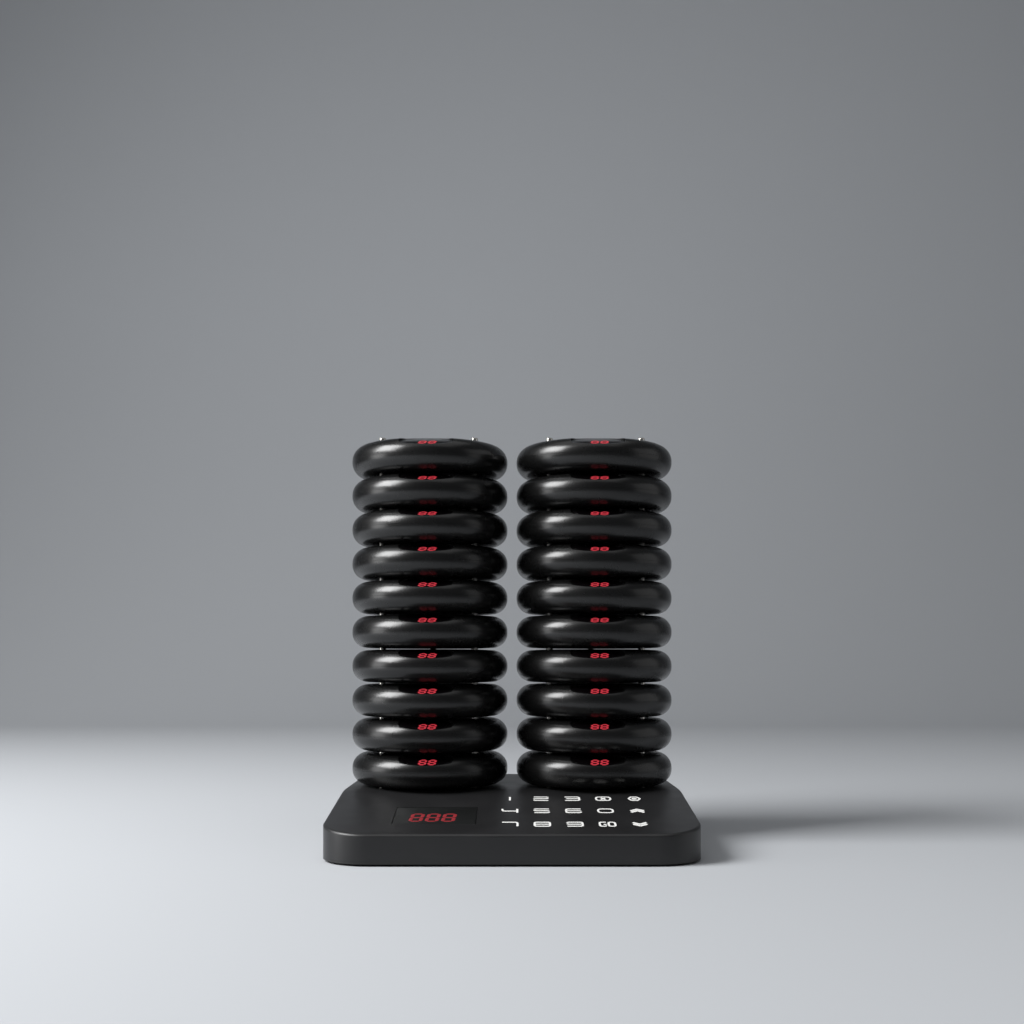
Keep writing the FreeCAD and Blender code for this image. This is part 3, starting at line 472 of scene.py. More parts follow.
@dataclass(frozen=True)
class Finish:
    """A surface: its colour, how it reflects, and a fine unevenness of a real size in millimetres."""

    name: str
    colour: str
    second: str
    roughness: float
    roughness_spread: float = 0.05
    metallic: float = 0.0
    ior: float = 1.5
    patch_mm: float = 12.0
    grain_mm: float = 1.0
    grain_depth_mm: float = 0.0
    coat: float = 0.0
    coat_roughness: float = 0.05

    def material(self) -> bpy.types.Material:
        """Makes the material: mottled colour and roughness, and a bump of fine grain."""
        made, tree, shader = new_material(self.name)
        spots = patches(tree, self.patch_mm, 4.0)
        tree.links.new(blend(tree, spots, self.colour, self.second), shader.inputs["Base Color"])
        smoothest = max(self.roughness - self.roughness_spread, 0.02)
        gloss = add_node(tree, "ShaderNodeMapRange", {
            "From Min": 0.3, "From Max": 0.7, "To Min": smoothest,
            "To Max": self.roughness + self.roughness_spread}, {"Value": spots})
        tree.links.new(gloss.outputs["Result"], shader.inputs["Roughness"])
        if self.grain_depth_mm > 0:
            depth = {"Distance": self.grain_depth_mm * METRE, "Strength": 1.0}
            bump = add_node(tree, "ShaderNodeBump", depth, {"Height": patches(tree, self.grain_mm, 2.0)})
            tree.links.new(bump.outputs["Normal"], shader.inputs["Normal"])
        shader.inputs["Metallic"].default_value = self.metallic
        if self.metallic < 1:
            shader.inputs["IOR"].default_value = self.ior
        shader.inputs["Coat Weight"].default_value = self.coat
        shader.inputs["Coat Roughness"].default_value = self.coat_roughness
        return made


@dataclass(frozen=True)
class Lit:
    """A lit diode bar under its diffuser: a glow that is a little uneven along the bar."""

    name: str
    colour: str
    dim: str
    strength: float = 1.0
    patch_mm: float = 1.5
    body: str = "#3a0508"

    def material(self) -> bpy.types.Material:
        """Makes the material: a red body that gives off its own light."""
        made, tree, shader = new_material(self.name)
        glow = blend(tree, patches(tree, self.patch_mm, 1.0), self.dim, self.colour)
        tree.links.new(glow, shader.inputs["Emission Color"])
        shader.inputs["Base Color"].default_value = linear(self.body)
        shader.inputs["Roughness"].default_value = 0.5
        shader.inputs["Emission Strength"].default_value = self.strength
        return made


class Surface(Enum):
    """The finishes of this object's own pieces."""

    # Moulded ABS from a spark-eroded tool: a fine matt grain that spreads reflections
    HOUSING = Finish("housing_abs_satin", "#1a1a1b", "#1f1f20", 0.4, 0.04, patch_mm=25, grain_mm=0.9,
                     grain_depth_mm=0.006)
    # Moulded ABS from a polished tool: near black, with the faint waviness of a moulding
    PAGER = Finish("pager_abs_gloss", "#0a0a0a", "#0d0d0d", 0.27, 0.02, patch_mm=18, grain_mm=7,
                   grain_depth_mm=0.004)
    # Smoked acrylic, polished: darker and smoother than the case
    PANE = Finish("pager_pane_acrylic", "#040304", "#070506", 0.08, 0.02, ior=1.49, patch_mm=8)
    # Smoked polycarbonate, fine matt against glare
    WINDOW = Finish("console_window_polycarbonate", "#161717", "#191a1a", 0.36, 0.03, patch_mm=15)
    # Turned brass, nickel plated: bright, with fine turning marks
    CONTACT = Finish("contact_nickel_turned", "#cfcdc8", "#bdbab4", 0.2, 0.06, metallic=1.0, patch_mm=2,
                     grain_mm=0.3, grain_depth_mm=0.004)
    # Screen-printed white ink, matt and a little uneven
    INK = Finish("key_ink_white", "#f4f4f2", "#e9e9e6", 0.6, 0.05, patch_mm=2)
    # Moulded neoprene, matt with a dusty bloom
    RUBBER = Finish("foot_neoprene", "#17171a", "#222226", 0.8, 0.08, patch_mm=3, grain_mm=0.5,
                    grain_depth_mm=0.02)
    # Zinc-plated steel, faintly blue and cloudy
    STEEL = Finish("screw_steel_zinc", "#a9adb2", "#8d9196", 0.35, 0.1, metallic=1.0, patch_mm=1.5)
    # Glass-epoxy laminate under green solder mask
    BOARD = Finish("board_epoxy_green", "#0d4a26", "#0a3a1e", 0.35, 0.05, patch_mm=4, coat=0.4)
    # Heat-shrunk PVC round a pouch cell
    CELL = Finish("cell_wrap_blue", "#1f4d8c", "#1a4076", 0.4, 0.06, patch_mm=6, grain_mm=3,
                  grain_depth_mm=0.03)
    # Drawn steel can of the vibration motor
    MOTOR = Finish("motor_can_steel", "#b4b5b6", "#9c9d9f", 0.3, 0.06, metallic=1.0, patch_mm=3)
    # Polyolefin sleeve over the antenna
    SLEEVE = Finish("antenna_sleeve", "#101012", "#18181a", 0.55, 0.06, patch_mm=3)
    # Epoxy-filled body of a diode display
    DIODES = Finish("diode_block_epoxy", "#2a0608", "#380a0c", 0.3, 0.05, patch_mm=3)
    # Glass-filled nylon of the inlet and the switch, finely grained
    NYLON = Finish("inlet_nylon_black", "#0f0f10", "#151516", 0.45, 0.06, patch_mm=4, grain_mm=0.6,
                   grain_depth_mm=0.008)
    # Floor and backdrop of the studio: pale matt paper
    PAPER = Finish("studio_paper", "#b9bcc0", "#b6b9bd", 0.9, 0.03, patch_mm=900)
    # Lit red bars of a pager
    PAGER_LIGHT = Lit("pager_diode_red", "#cf3a48", "#a92531")
    # Lit red bars of the console, dimmer behind their window
    CONSOLE_LIGHT = Lit("console_diode_red", "#8f2a30", "#7a1f26")


MATERIALS: dict[Surface, bpy.types.Material] = {}
KEPT_NODES = {
    "base_bottom_cover": Surface.HOUSING, "cover_screws": Surface.STEEL, "control_board": Surface.BOARD,
    "touch_keypad_board": Surface.BOARD, "charging_board": Surface.BOARD,
    "charging_contacts": Surface.CONTACT, "console_digit_display": Surface.DIODES,
    "radio_antenna": Surface.SLEEVE, "power_jack": Surface.NYLON, "switch_body": Surface.NYLON,
    "switch_rocker": Surface.NYLON, f"{OPEN_PAGER}_circuit_board": Surface.BOARD,
    f"{OPEN_PAGER}_battery": Surface.CELL, f"{OPEN_PAGER}_vibration_motor": Surface.MOTOR,
    f"{OPEN_PAGER}_digit_display": Surface.DIODES}


def finish_of(surface: Surface) -> bpy.types.Material:
    """The material of a finish, made once."""
    if surface not in MATERIALS:
        MATERIALS[surface] = surface.value.material()
    return MATERIALS[surface]


def show(name: str, mesh: bpy.types.Mesh, surface: Surface, body: str, slot: str | None,
         *replaced: str) -> bpy.types.Object:
    """Puts a finished piece in the scene, riding on its body.

    Args:
        name: the piece's name.
        mesh: its mesh.
        surface: its finish.
        body: the body that carries it.
        slot: the record's material slot, or None where it has none; not used.
        replaced: nodes that it stands for.

    Returns:
        The piece.
    """
    piece = make_object(name, mesh)
    mesh.materials.clear()
    mesh.materials.append(finish_of(surface))
    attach(piece, body)
    if replaced:
        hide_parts(*replaced)
    LOG.info("%s: %d faces on %s", name, len(mesh.polygons), body)
    return piece


def dress_kept_nodes() -> None:
    """Gives each kept node its finish."""
    for node, surface in KEPT_NODES.items():
        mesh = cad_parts[node].data
        mesh.materials.clear()
        mesh.materials.append(finish_of(surface))
        LOG.info("%s: kept, %s", node, surface.value.name)


# The base


@dataclass
class Base:
    """The charging base: its cover, console, keys and feet."""

    front_width: float = 202.8
    rear_width: float = 197.0
    depth: float = 206.8
    corner_radius: float = 26.0
    foot_gap: float = 1.2
    front_wall: float = 15.6
    rise: float = 13.3
    panel_run: float = 100.0
    crease_radius: float = 110.0
    edge_radius: float = 1.6
    inner_edge_radius: float = 0.4
    wall: float = 2.4
    window_centre: tuple[float, float] = (-41.75, 39.5)
    window_size: tuple[float, float] = (44.5, 36.0)
    window_gap: float = 0.3
    window_corner_radius: float = 0.8
    figures: Eights = Eights(3, 8.75, 5.5, 15.4, 1.95, 3.5)
    figures_place: tuple[float, float, float] = (-42.9, 34.8, -0.02)
    recess_half_length: float = 30.0
    recess_depth: float = 4.5
    recess_level: float = 16.0
    recess_half_height: float = 9.0
    foot_setback: float = 80.0
    foot_wall_distance: float = 24.0
    foot_radius: float = 7.0

    def half_width(self, y: float) -> float:
        """Half of the base's width at a place between its front and its rear."""
        taper = (self.front_width - self.rear_width) / 2
        return (self.front_width + self.rear_width) / 4 - y / self.depth * taper

    @property
    def tilt(self) -> float:
        """The panel's slope in degrees."""
        return math.degrees(math.atan2(self.rise, self.panel_run))

    @property
    def panel(self) -> Plane:
        """The panel's plane, from its front edge up."""
        return Plane((0.0, -self.depth / 2, self.foot_gap + self.front_wall), self.tilt)

    def outline(self) -> Outline:
        """The base's plan, with points where the crease's rounding starts, runs and ends."""
        y = self.depth / 2
        corners = np.array([(-self.front_width / 2, -y), (self.front_width / 2, -y),
                            (self.rear_width / 2, y), (-self.rear_width / 2, y)])
        return rounded_polygon(corners, self.corner_radius, 28, tuple(self.crease_stops()))

    def crease_stops(self) -> np.ndarray:
        """Values of y across the crease's rounding, evenly spaced."""
        reach = self.crease_radius * math.tan(math.radians(self.tilt) / 2)
        crease = -self.depth / 2 + self.panel_run
        return np.linspace(crease - reach, crease + reach, CREASE_POINTS)

    def top(self, y: np.ndarray) -> np.ndarray:
        """Height of the top: the sloping panel, an arc over the crease, and the level platform.

        Args:
            y: places from front to rear.

        Returns:
            The heights.
        """
        slope = math.radians(self.tilt)
        first, last = self.crease_stops()[[0, -1]]
        platform = self.foot_gap + self.front_wall + self.rise
        panel = self.foot_gap + self.front_wall + (y + self.depth / 2) * math.tan(slope)
        from_end = np.clip(last - y, 0, last - first)
        arc = platform - self.crease_radius + np.sqrt(self.crease_radius**2 - from_end**2)
        return np.where(y < first, panel, np.where(y > last, platform, arc))

    def shell_half(self, inset: float, drop: float, edge: float, flip: bool) -> tuple[Skin, np.ndarray]:
        """One side of the cover's wall: upright wall, rounded edge, panel, crease and platform.

        The wall's rings are the plan drawn in by the inset. Over the edge, a ring at an angle is drawn in by
        the edge radius times one less its cosine, and lies below the top by that radius times one less its
        sine. The top itself is a flat face for the panel, strips across the crease and a flat face for the
        platform.

        Args:
            inset: how far the surface lies inside the plan.
            drop: how far it lies below the top.
            edge: its edge radius.
            flip: whether it faces inwards.

        Returns:
            The surface and its lowest ring.
        """
        outline = self.outline()
        rings = [np.column_stack([outline.inset(inset), np.full(len(outline.points), self.foot_gap)])]
        for turn in np.linspace(0, np.pi / 2, 9):
            flat = outline.inset(inset + edge * (1 - math.cos(turn)))
            height = self.top(flat[:, 1]) - drop - edge * (1 - math.sin(turn))
            rings.append(np.column_stack([flat, height]))
        rings = np.stack(rings)
        skin = grid(rings, flip=flip)
        ring = rings[-1]
        first, last = self.crease_stops()[[0, -1]]
        front = [i for i in range(len(ring)) if outline.points[i, 1] < first + 0.01]
        rear = [i for i in range(len(ring)) if outline.points[i, 1] > last - 0.01]
        split = front.index(max(i for i in front if i < len(ring) // 2))
        front = front[split + 1:] + front[:split + 1]
        skin.join(cap(ring[front], flip)).join(cap(ring[rear], flip))
        right = [front[-1] + k for k in range(CREASE_POINTS)]
        left = [front[0] - k for k in range(CREASE_POINTS)]
        strips = np.stack([ring[left], ring[right]], axis=1)
        return skin.join(grid(strips, closed=False, flip=flip)), rings[0]

    def cover_mesh(self) -> bpy.types.Mesh:
        """The cover as a hollow moulding, with its window cut through and its rear recess cut in."""
        outer, outer_ring = self.shell_half(0, 0, self.edge_radius, False)
        drop = self.wall / math.cos(math.radians(self.tilt))
        inner, inner_ring = self.shell_half(self.wall, drop, self.inner_edge_radius, True)
        rim = grid(np.stack([inner_ring, outer_ring]))
        mesh = outer.join(inner).join(rim).mesh("cover")
        rear = self.depth / 2
        half, depth, level, tall = (self.recess_half_length, self.recess_depth, self.recess_level,
                                    self.recess_half_height)
        backing = block((-half - self.wall, rear - depth - self.wall, level - tall - self.wall),
                        (half + self.wall, rear - self.wall / 2, level + tall + self.wall))
        mesh = carve(mesh, backing.mesh("backing"), "UNION")
        (x, run), (length, width) = self.window_centre, self.window_size
        grow = self.window_gap
        opening = block((x - length / 2 - grow, run - width / 2 - grow, -2 * self.wall),
                        (x + length / 2 + grow, run + width / 2 + grow, 2 * self.wall))
        mesh = carve(mesh, self.panel.skin(opening).mesh("opening"))
        past_rear = rear + 5
        recess = block((-half, rear - depth, level - tall), (half, past_rear, level + tall))
        return carve(mesh, recess.mesh("recess"))

    def build(self) -> None:
        """Builds the base's own pieces."""
        show("cover_moulding", self.cover_mesh(), Surface.HOUSING, "base", "base_plastic", "base_top_cover")
        self.build_console()
        self.build_keys()
        self.build_feet()

    def build_console(self) -> None:
        """The flush window with its lit three-figure display."""
        (x, run), (length, width) = self.window_centre, self.window_size
        corners = rectangle((x - length / 2, run - width / 2), (x + length / 2, run + width / 2))
        pane = rounded_polygon(corners, self.window_corner_radius, 6).loft([
            (0.2, -self.wall), (0, -self.wall + 0.2), (0, -0.25), (0.07, -0.09), (0.22, -0.03)])
        show("console_window", self.panel.skin(pane).mesh("console_window"), Surface.WINDOW, "base",
             "console_window", "console_display_window")
        figures = self.figures.on(self.panel, self.figures_place)
        show("console_figures", figures.mesh("console_figures"), Surface.CONSOLE_LIGHT, "base", "display")

    def build_keys(self) -> None:
        """The printed key symbols, one piece for each key."""
        for key in Key:
            flat = key.skin().moved((*key.centre(), 0.0))
            show(f"key_{key.name.lower()}", self.panel.skin(flat).mesh(key.name), Surface.INK, "base", None)

    def build_feet(self) -> None:
        """The four rubber feet, each with a rounded lower edge."""
        skin = Skin()
        for side in (-1, 1):
            for y in (-self.foot_setback, self.foot_setback):
                place = (side * (self.half_width(y) - self.foot_wall_distance), y)
                outline = ellipse(self.foot_radius, self.foot_radius, 40, place)
                skin.join(outline.loft([(0.6, 0), (0.18, 0.18), (0, 0.6), (0, 2.2)]))
        show("feet", skin.mesh("feet"), Surface.RUBBER, "base", "rubber", "rubber_feet")


class Key(Enum):
    """The touch keys, each with its column and row from the left and the rear."""

    ONE = (0, 0)
    TWO = (1, 0)
    THREE = (2, 0)
    CLEAR = (3, 0)
    SETUP = (4, 0)
    FOUR = (0, 1)
    FIVE = (1, 1)
    SIX = (2, 1)
    ZERO = (3, 1)
    UP = (4, 1)
    SEVEN = (0, 2)
    EIGHT = (1, 2)
    NINE = (2, 2)
    GO = (3, 2)
    DOWN = (4, 2)

    def centre(self) -> tuple[float, float]:
        """Where the symbol stands on the panel."""
        column, row = self.value
        first_column, pitches, rows = -1.2, (17.85, 17.65, 17.35), (77.9, 49.7, 20.7)
        return first_column + pitches[row] * column, rows[row]

    def strokes(self) -> list[tuple[list[tuple[float, float]], bool]]:
        """The symbol's strokes in a box one unit wide and tall, each with whether it is closed."""
        square = [(0, 0), (1, 0), (1, 1), (0, 1)]

        def chevron(foot: float, tip: float) -> tuple[list[tuple[float, float]], bool]:
            return [(0.05, foot), (0.5, tip), (0.95, foot)], False

        drawn = {
            Key.ONE: [([(0.5, 0), (0.5, 1)], False)],
            Key.TWO: [([(0, 1), (1, 1), (1, 0.5), (0, 0.5), (0, 0), (1, 0)], False)],
            Key.THREE: [([(0, 1), (1, 1), (1, 0), (0, 0)], False), ([(0.1, 0.5), (1, 0.5)], False)],
            Key.FOUR: [([(0, 1), (0, 0.42), (1, 0.42)], False), ([(1, 1), (1, 0)], False)],
            Key.FIVE: [([(1, 1), (0, 1), (0, 0.5), (1, 0.5), (1, 0), (0, 0)], False)],
            Key.SIX: [([(1, 1), (0, 1), (0, 0), (1, 0), (1, 0.5), (0, 0.5)], False)],
            Key.SEVEN: [([(0, 1), (1, 1), (1, 0)], False)],
            Key.EIGHT: [(square, True), ([(0, 0.5), (1, 0.5)], False)],
            Key.NINE: [([(0, 0), (1, 0), (1, 1), (0, 1), (0, 0.5), (1, 0.5)], False)],
            Key.ZERO: [(square, True)],
            Key.CLEAR: [(square, True), ([(0.34, 0.25), (0.66, 0.75)], False),
                        ([(0.34, 0.75), (0.66, 0.25)], False)],
            Key.SETUP: [([(0, 0.5), (0.25, 0), (0.75, 0), (1, 0.5), (0.75, 1), (0.25, 1)], True),
                        ([(0.38, 0.36), (0.62, 0.36), (0.62, 0.64), (0.38, 0.64)], True)],
            Key.GO: [([(0.42, 1), (0, 1), (0, 0), (0.42, 0), (0.42, 0.46), (0.24, 0.46)], False),
                     ([(0.58, 0), (1, 0), (1, 1), (0.58, 1)], True)],
            Key.UP: [chevron(0.1, 0.5), chevron(0.5, 0.9)],
            Key.DOWN: [chevron(0.9, 0.5), chevron(0.5, 0.1)],
        }
        return drawn[self]

    def skin(self) -> Skin:
        """The symbol as strips of ink, drawn flat about the origin."""
        # Drawn low and stretched up the slope, as lettering on a panel seen at a low angle is
        size, stretch = np.array([6.6 if self is Key.SETUP else 8.2, 5.2]), np.array([1.0, 1.6, 1.0])
        pointed = self in (Key.SETUP, Key.UP, Key.DOWN)
        stroke = 1.5 if self in (Key.UP, Key.DOWN) else 1.1
        radius = 0.3 if pointed else 2.4 if self in (Key.ZERO, Key.CLEAR) else 1.4
        skin = Skin()
        for level, (points, closed) in enumerate(self.strokes()):
            flat = (np.array(points, float) - 0.5) * size
            path = softened([tuple(p) for p in flat], radius, closed)
            ink_height = 0.04 + 0.005 * level
            skin.join(ribbon(path, stroke, ink_height, closed))
        return Skin([np.concatenate(skin.points) * stretch], skin.faces, skin.count)


# The pagers


@dataclass(frozen=True)
class Shell:
    """One turned half of a pager's case: a level middle, a shoulder arc, a nose arc and an upright band.

    The shoulder arc is tangent to the level middle and to the nose arc, which fixes its radius: span squared,
    less twice span times nose, plus rise squared, over twice the rise less the nose. A length along the
    section runs from the axis outwards, and the half that has up at -1 lies upside down below the parting.
    """

    nose: float
    band: float
    up: float
    radius: float = 47.5
    height: float = 20.26
    flat_radius: float = 25.0
    centre_ring: float = 12.0
    columns: int = 192
    parting_chamfer: float = 0.07

    @property
    def shoulder(self) -> float:
        """Radius of the shoulder arc."""
        span, rise = self.radius - self.flat_radius, self.height / 2 - self.band
        return (span**2 - 2 * span * self.nose + rise**2) / (2 * (rise - self.nose))

    @property
    def join(self) -> float:
        """Angle at which the two arcs meet."""
        return math.atan2(self.shoulder + self.band - self.height / 2,
                          self.radius - self.nose - self.flat_radius)

    @property
    def nose_start(self) -> float:
        """Length along the section at which the nose arc starts."""
        return self.flat_radius + self.shoulder * (math.pi / 2 - self.join)

    @property
    def band_start(self) -> float:
        """Length along the section at which the band starts."""
        return self.nose_start + self.nose * self.join

    @property
    def turns(self) -> np.ndarray:
        """Turns from the front, once round and anticlockwise from above, one for each column."""
        return np.linspace(-np.pi, np.pi, self.columns, endpoint=False)

    def section(self, length: np.ndarray) -> tuple[np.ndarray, np.ndarray]:
        """Radius and height above the parting at a length along the section.

        Args:
            length: lengths along the section.

        Returns:
            The radii and the heights.
        """
        shoulder, nose, top = self.shoulder, self.nose, self.height / 2
        on_shoulder = (length - self.flat_radius) / shoulder
        shoulder_angle = math.pi / 2 - np.clip(on_shoulder, 0, math.pi / 2 - self.join)
        nose_angle = self.join - np.clip((length - self.nose_start) / nose, 0, self.join)
        parts = [length < self.flat_radius, length > self.band_start, length > self.nose_start]
        radius = np.select(parts, [length, np.full_like(length, self.radius),
                                   self.radius - nose + nose * np.cos(nose_angle)],
                           self.flat_radius + shoulder * np.cos(shoulder_angle))
        height = np.select(parts, [np.full_like(length, top), self.band - (length - self.band_start),
                                   self.band + nose * np.sin(nose_angle)],
                           top - shoulder + shoulder * np.sin(shoulder_angle))
        return radius, height

    def lengths(self, dense_from: float | None = None) -> np.ndarray:
        """Lengths at which the section gets a ring, closer together on the nose."""
        start = dense_from or self.flat_radius
        flat_part = np.linspace(self.flat_radius, start, 3)[:-1] if dense_from else []
        shoulder_part = np.linspace(start, self.nose_start, 9)[:-1]
        nose_part = np.linspace(self.nose_start, self.band_start, 17)
        return np.concatenate([[0.0, self.centre_ring], flat_part, shoulder_part, nose_part])

    def turned(self, lengths: np.ndarray, turns: np.ndarray) -> np.ndarray:
        """Points of the outside, for lengths along the section and turns from the front."""
        radius, height = self.section(lengths)
        return np.stack([radius * np.sin(turns), -radius * np.cos(turns),
                         self.height / 2 + self.up * height], axis=-1)

    def rows(self, lengths: np.ndarray) -> np.ndarray:
        """Points of the outside once round at each length."""
        return self.turned(*np.meshgrid(lengths, self.turns, indexing="ij"))

    def rim(self) -> Skin:
        """The upright band, the small chamfer at the parting, and the flat face there."""
        flat = np.stack([np.sin(self.turns), -np.cos(self.turns)], axis=-1)
        rings = [self.rows(np.array([self.band_start]))[0]]
        for radius, height in ((self.radius, self.parting_chamfer), (self.radius - self.parting_chamfer, 0)):
            level = np.full(self.columns, self.height / 2 + self.up * height)
            rings.append(np.column_stack([radius * flat, level]))
        return grid(np.stack(rings), flip=self.up > 0).join(cap(rings[-1], flip=self.up > 0))

    def height_at(self, radius: np.ndarray) -> np.ndarray:
        """Height of the upper half's outside above the pager's foot at a radius, far below past its rim."""
        shoulder, far_below = self.shoulder, -100.0
        meet = self.flat_radius + shoulder * math.cos(self.join)
        out, reach = radius - self.flat_radius, radius - self.radius + self.nose
        arc = self.height - shoulder + np.sqrt(np.clip(shoulder**2 - out**2, 0, None))
        nose = self.height / 2 + self.band + np.sqrt(np.clip(self.nose**2 - reach**2, 0, None))
        height = np.where(radius < self.flat_radius, self.height, np.where(radius < meet, arc, nose))
        return np.where(radius > self.radius, far_below, height)


@dataclass
class PagerShape:
    """The form that all pagers share, about the pager's own axis and standing on z = 0."""

    top: Shell = Shell(9.2, 0.4, 1)
    bottom: Shell = Shell(9.0, 0.6, -1)
    facet_tilt: float = 22.0
    facet_start: float = 32.7
    facet_centre: float = 39.6
    facet_half: tuple[float, float] = (16.2, 10.5)
    facet_edge_rounding: float = 0.12
    pane_half: tuple[float, float] = (14.5, 6.6)
    pane_gap: float = 0.1
    seat_depth: float = 1.2
    gap_columns: int = 14
    gap_from: float = 29.0
    figures_row: Eights = Eights(2, 5.6, 3.5, 5.9, 1.35, 7.0)
    figures_place: tuple[float, float, float] = (0.9, -2.9, 0.0)
    contact_circle: float = 32.0
    contact_radius: float = 2.05
    contact_tip: float = 23.06
    pad_level: float = 2.3
    pad_thickness: float = 1.2
    socket_radius: float = 2.9

    @property
    def facet_level(self) -> float:
        """Height of the facet's centre."""
        run = self.facet_centre - self.facet_start
        return self.top.height - run * math.tan(math.radians(self.facet_tilt))

    @property
    def facet(self) -> Plane:
        """The facet's plane, with its y running up the slope, away from the viewer."""
        return Plane((0.0, -self.facet_centre, self.facet_level), self.facet_tilt)

    def inside(self, flat: np.ndarray, lift: np.ndarray) -> np.ndarray:
        """Whether places on the facet's plane, lifted off it, lie inside the upper shell's outside."""
        points = self.facet.out(np.column_stack([flat, lift]))
        return self.top.height_at(np.hypot(points[:, 0], points[:, 1])) > points[:, 2]

    def facet_edge(self, turn: np.ndarray) -> np.ndarray:
        """The facet's outline on its plane: an ellipse, cut short where the shell's outside meets the plane.

        Args:
            turn: directions from the facet's centre.

        Returns:
            Points on the plane.
        """
        ray = np.column_stack([np.cos(turn), np.sin(turn)])
        far = 1 / np.hypot(ray[:, 0] / self.facet_half[0], ray[:, 1] / self.facet_half[1])
        level = np.zeros_like(far)
        whole = self.inside(ray * far[:, None], level)
        cut_short = furthest(lambda reach: self.inside(ray * reach[:, None], level), far)
        return ray * np.where(whole, far, cut_short)[:, None]

    def rise_to_skin(self, flat: np.ndarray) -> np.ndarray:
        """How far each place on the facet's plane lies below the shell's outside, along its normal."""
        deepest = 8.0
        return furthest(lambda lift: self.inside(flat, lift), np.full(len(flat), deepest))

    def upper(self) -> Skin:
        """The upper case: turned outside, facet recess with the window's seat, flat face at the parting.

        Round the facet, the turned grid has a gap. Rings run from the facet's outline to the gap's border: a
        ring's points lie a share of the way between the two, in turn and in length along the section.

        Returns:
            The closed surface.
        """
        shell, columns = self.top, self.top.columns
        lengths = shell.lengths(self.gap_from)
        inner = int(np.argmin(np.abs(lengths - self.gap_from)))
        outer = len(lengths) - 1
        middle, side = columns // 2, self.gap_columns
        points = shell.rows(lengths)
        whole = grid(points, flip=True)
        kept = []
        for face in whole.faces:
            row = min(face) // columns
            held = [i % columns for i in face]
            beside = max(held) - min(held) == 1 and middle - side <= min(held) < middle + side
            if not (inner <= row < outer and beside):
                kept.append(face)
        skin = Skin().add(whole.points[0], kept)

        # The gap's border, once round: along the inner row, down one side, back and up the other
        across, down = np.arange(middle - side, middle + side), np.arange(inner, outer)
        rows = np.concatenate([np.full(len(across), inner), down, np.full(len(across), outer),
                               down[::-1] + 1])
        places = np.concatenate([across, np.full(len(down), middle + side), across[::-1] + 1,
                                 np.full(len(down), middle - side)])
        border_length, border_turn = lengths[rows], shell.turns[places]
        border = points[rows, places]
        c, s = math.cos(math.radians(self.facet_tilt)), math.sin(math.radians(self.facet_tilt))
        up_slope = (border[:, 1] + self.facet_centre) * c + (border[:, 2] - self.facet_level) * s
        direction = np.arctan2(up_slope, border[:, 0])
        floor_edge = self.facet_edge(direction)
        lift = self.rise_to_skin(floor_edge)
        edge = self.facet.out(np.column_stack([floor_edge, lift]))
        edge_turn = np.arctan2(edge[:, 0], -edge[:, 1])
        table = np.linspace(20, lengths[-1], 4000)
        edge_radius = np.hypot(edge[:, 0], edge[:, 1])
        edge_length = np.interp(edge_radius, shell.section(table)[0], table)
        rings = []
        for share in (0, 0.02, 0.08, 0.2, 0.36, 0.56, 0.78, 1):
            rings.append(shell.turned(edge_length + share * (border_length - edge_length),
                                      edge_turn + share * (border_turn - edge_turn)))
        skin.join(grid(np.stack(rings)))

        # Down the recess's wall, over the facet's floor, and into the window's seat
        def on_facet(flat: np.ndarray, height: float | np.ndarray) -> np.ndarray:
            return self.facet.out(np.column_stack([flat, np.broadcast_to(height, len(flat))]))

        reach = 1 / np.hypot(np.cos(direction) / (self.pane_half[0] + self.pane_gap),
                             np.sin(direction) / (self.pane_half[1] + self.pane_gap))
        seat = np.column_stack([np.cos(direction), np.sin(direction)]) * reach[:, None]
        rounding = self.facet_edge_rounding
        soft = np.minimum(lift, rounding)
        inward = floor_edge * (1 - rounding / np.linalg.norm(floor_edge, axis=1, keepdims=True))
        inward = np.where((lift > rounding)[:, None], inward, floor_edge)
        steps = [rings[0], on_facet(inward, lift - soft), on_facet(inward, 0),
                 on_facet((inward + seat) / 2, 0), on_facet(seat, 0), on_facet(seat, -self.seat_depth)]
        skin.join(grid(np.stack(steps), flip=True))
        skin.join(cap(steps[-1], flip=True))
        return skin.join(shell.rim())

    def lower(self) -> Carved:
        """The lower case: turned outside with three sockets round the contact pads."""
        shell = self.bottom
        mesh = grid(shell.rows(shell.lengths())).join(shell.rim()).mesh("lower_case")
        sockets = Skin()
        for x, y in self.contact_places():
            hole = ellipse(self.socket_radius, self.socket_radius, 40, (x, y))
            sockets.join(hole.loft([(0, -1), (0, self.pad_level + self.pad_thickness)]))
        return Carved(carve(mesh, sockets.mesh("sockets")))

    def contact_places(self) -> list[tuple[float, float]]:
        """The three contacts, one at the rear and two in front."""
        turns = [math.radians(a) for a in (90, 210, 330)]
        return [(self.contact_circle * math.cos(a), self.contact_circle * math.sin(a)) for a in turns]

    def contacts(self) -> Skin:
        """The three turned contacts, each with its pad below and a rounded tip above."""
        skin = Skin()
        r, tip = self.contact_radius, self.contact_tip
        edge, flange, bevel = 0.6, 0.75, 0.15
        low, high = self.pad_level, self.pad_level + self.pad_thickness
        pad = [(bevel - flange, low), (-flange, low + bevel), (-flange, high), (0, high)]
        turn = np.linspace(0, np.pi / 2, 6)
        rounded = [(edge * (1 - math.cos(a)), tip - edge * (1 - math.sin(a))) for a in turn]
        for x, y in self.contact_places():
            skin.join(ellipse(r, r, 32, (x, y)).loft([*pad, *rounded]))
        return skin

    def pane(self) -> Skin:
        """The smoked pane: an ellipse with a fine rounded edge, flush with the facet."""
        outline = ellipse(*self.pane_half, 96)
        flat = outline.loft([(0, 0.05 - self.seat_depth), (0, -0.12), (0.04, -0.04), (0.13, 0)])
        return self.facet.skin(flat)

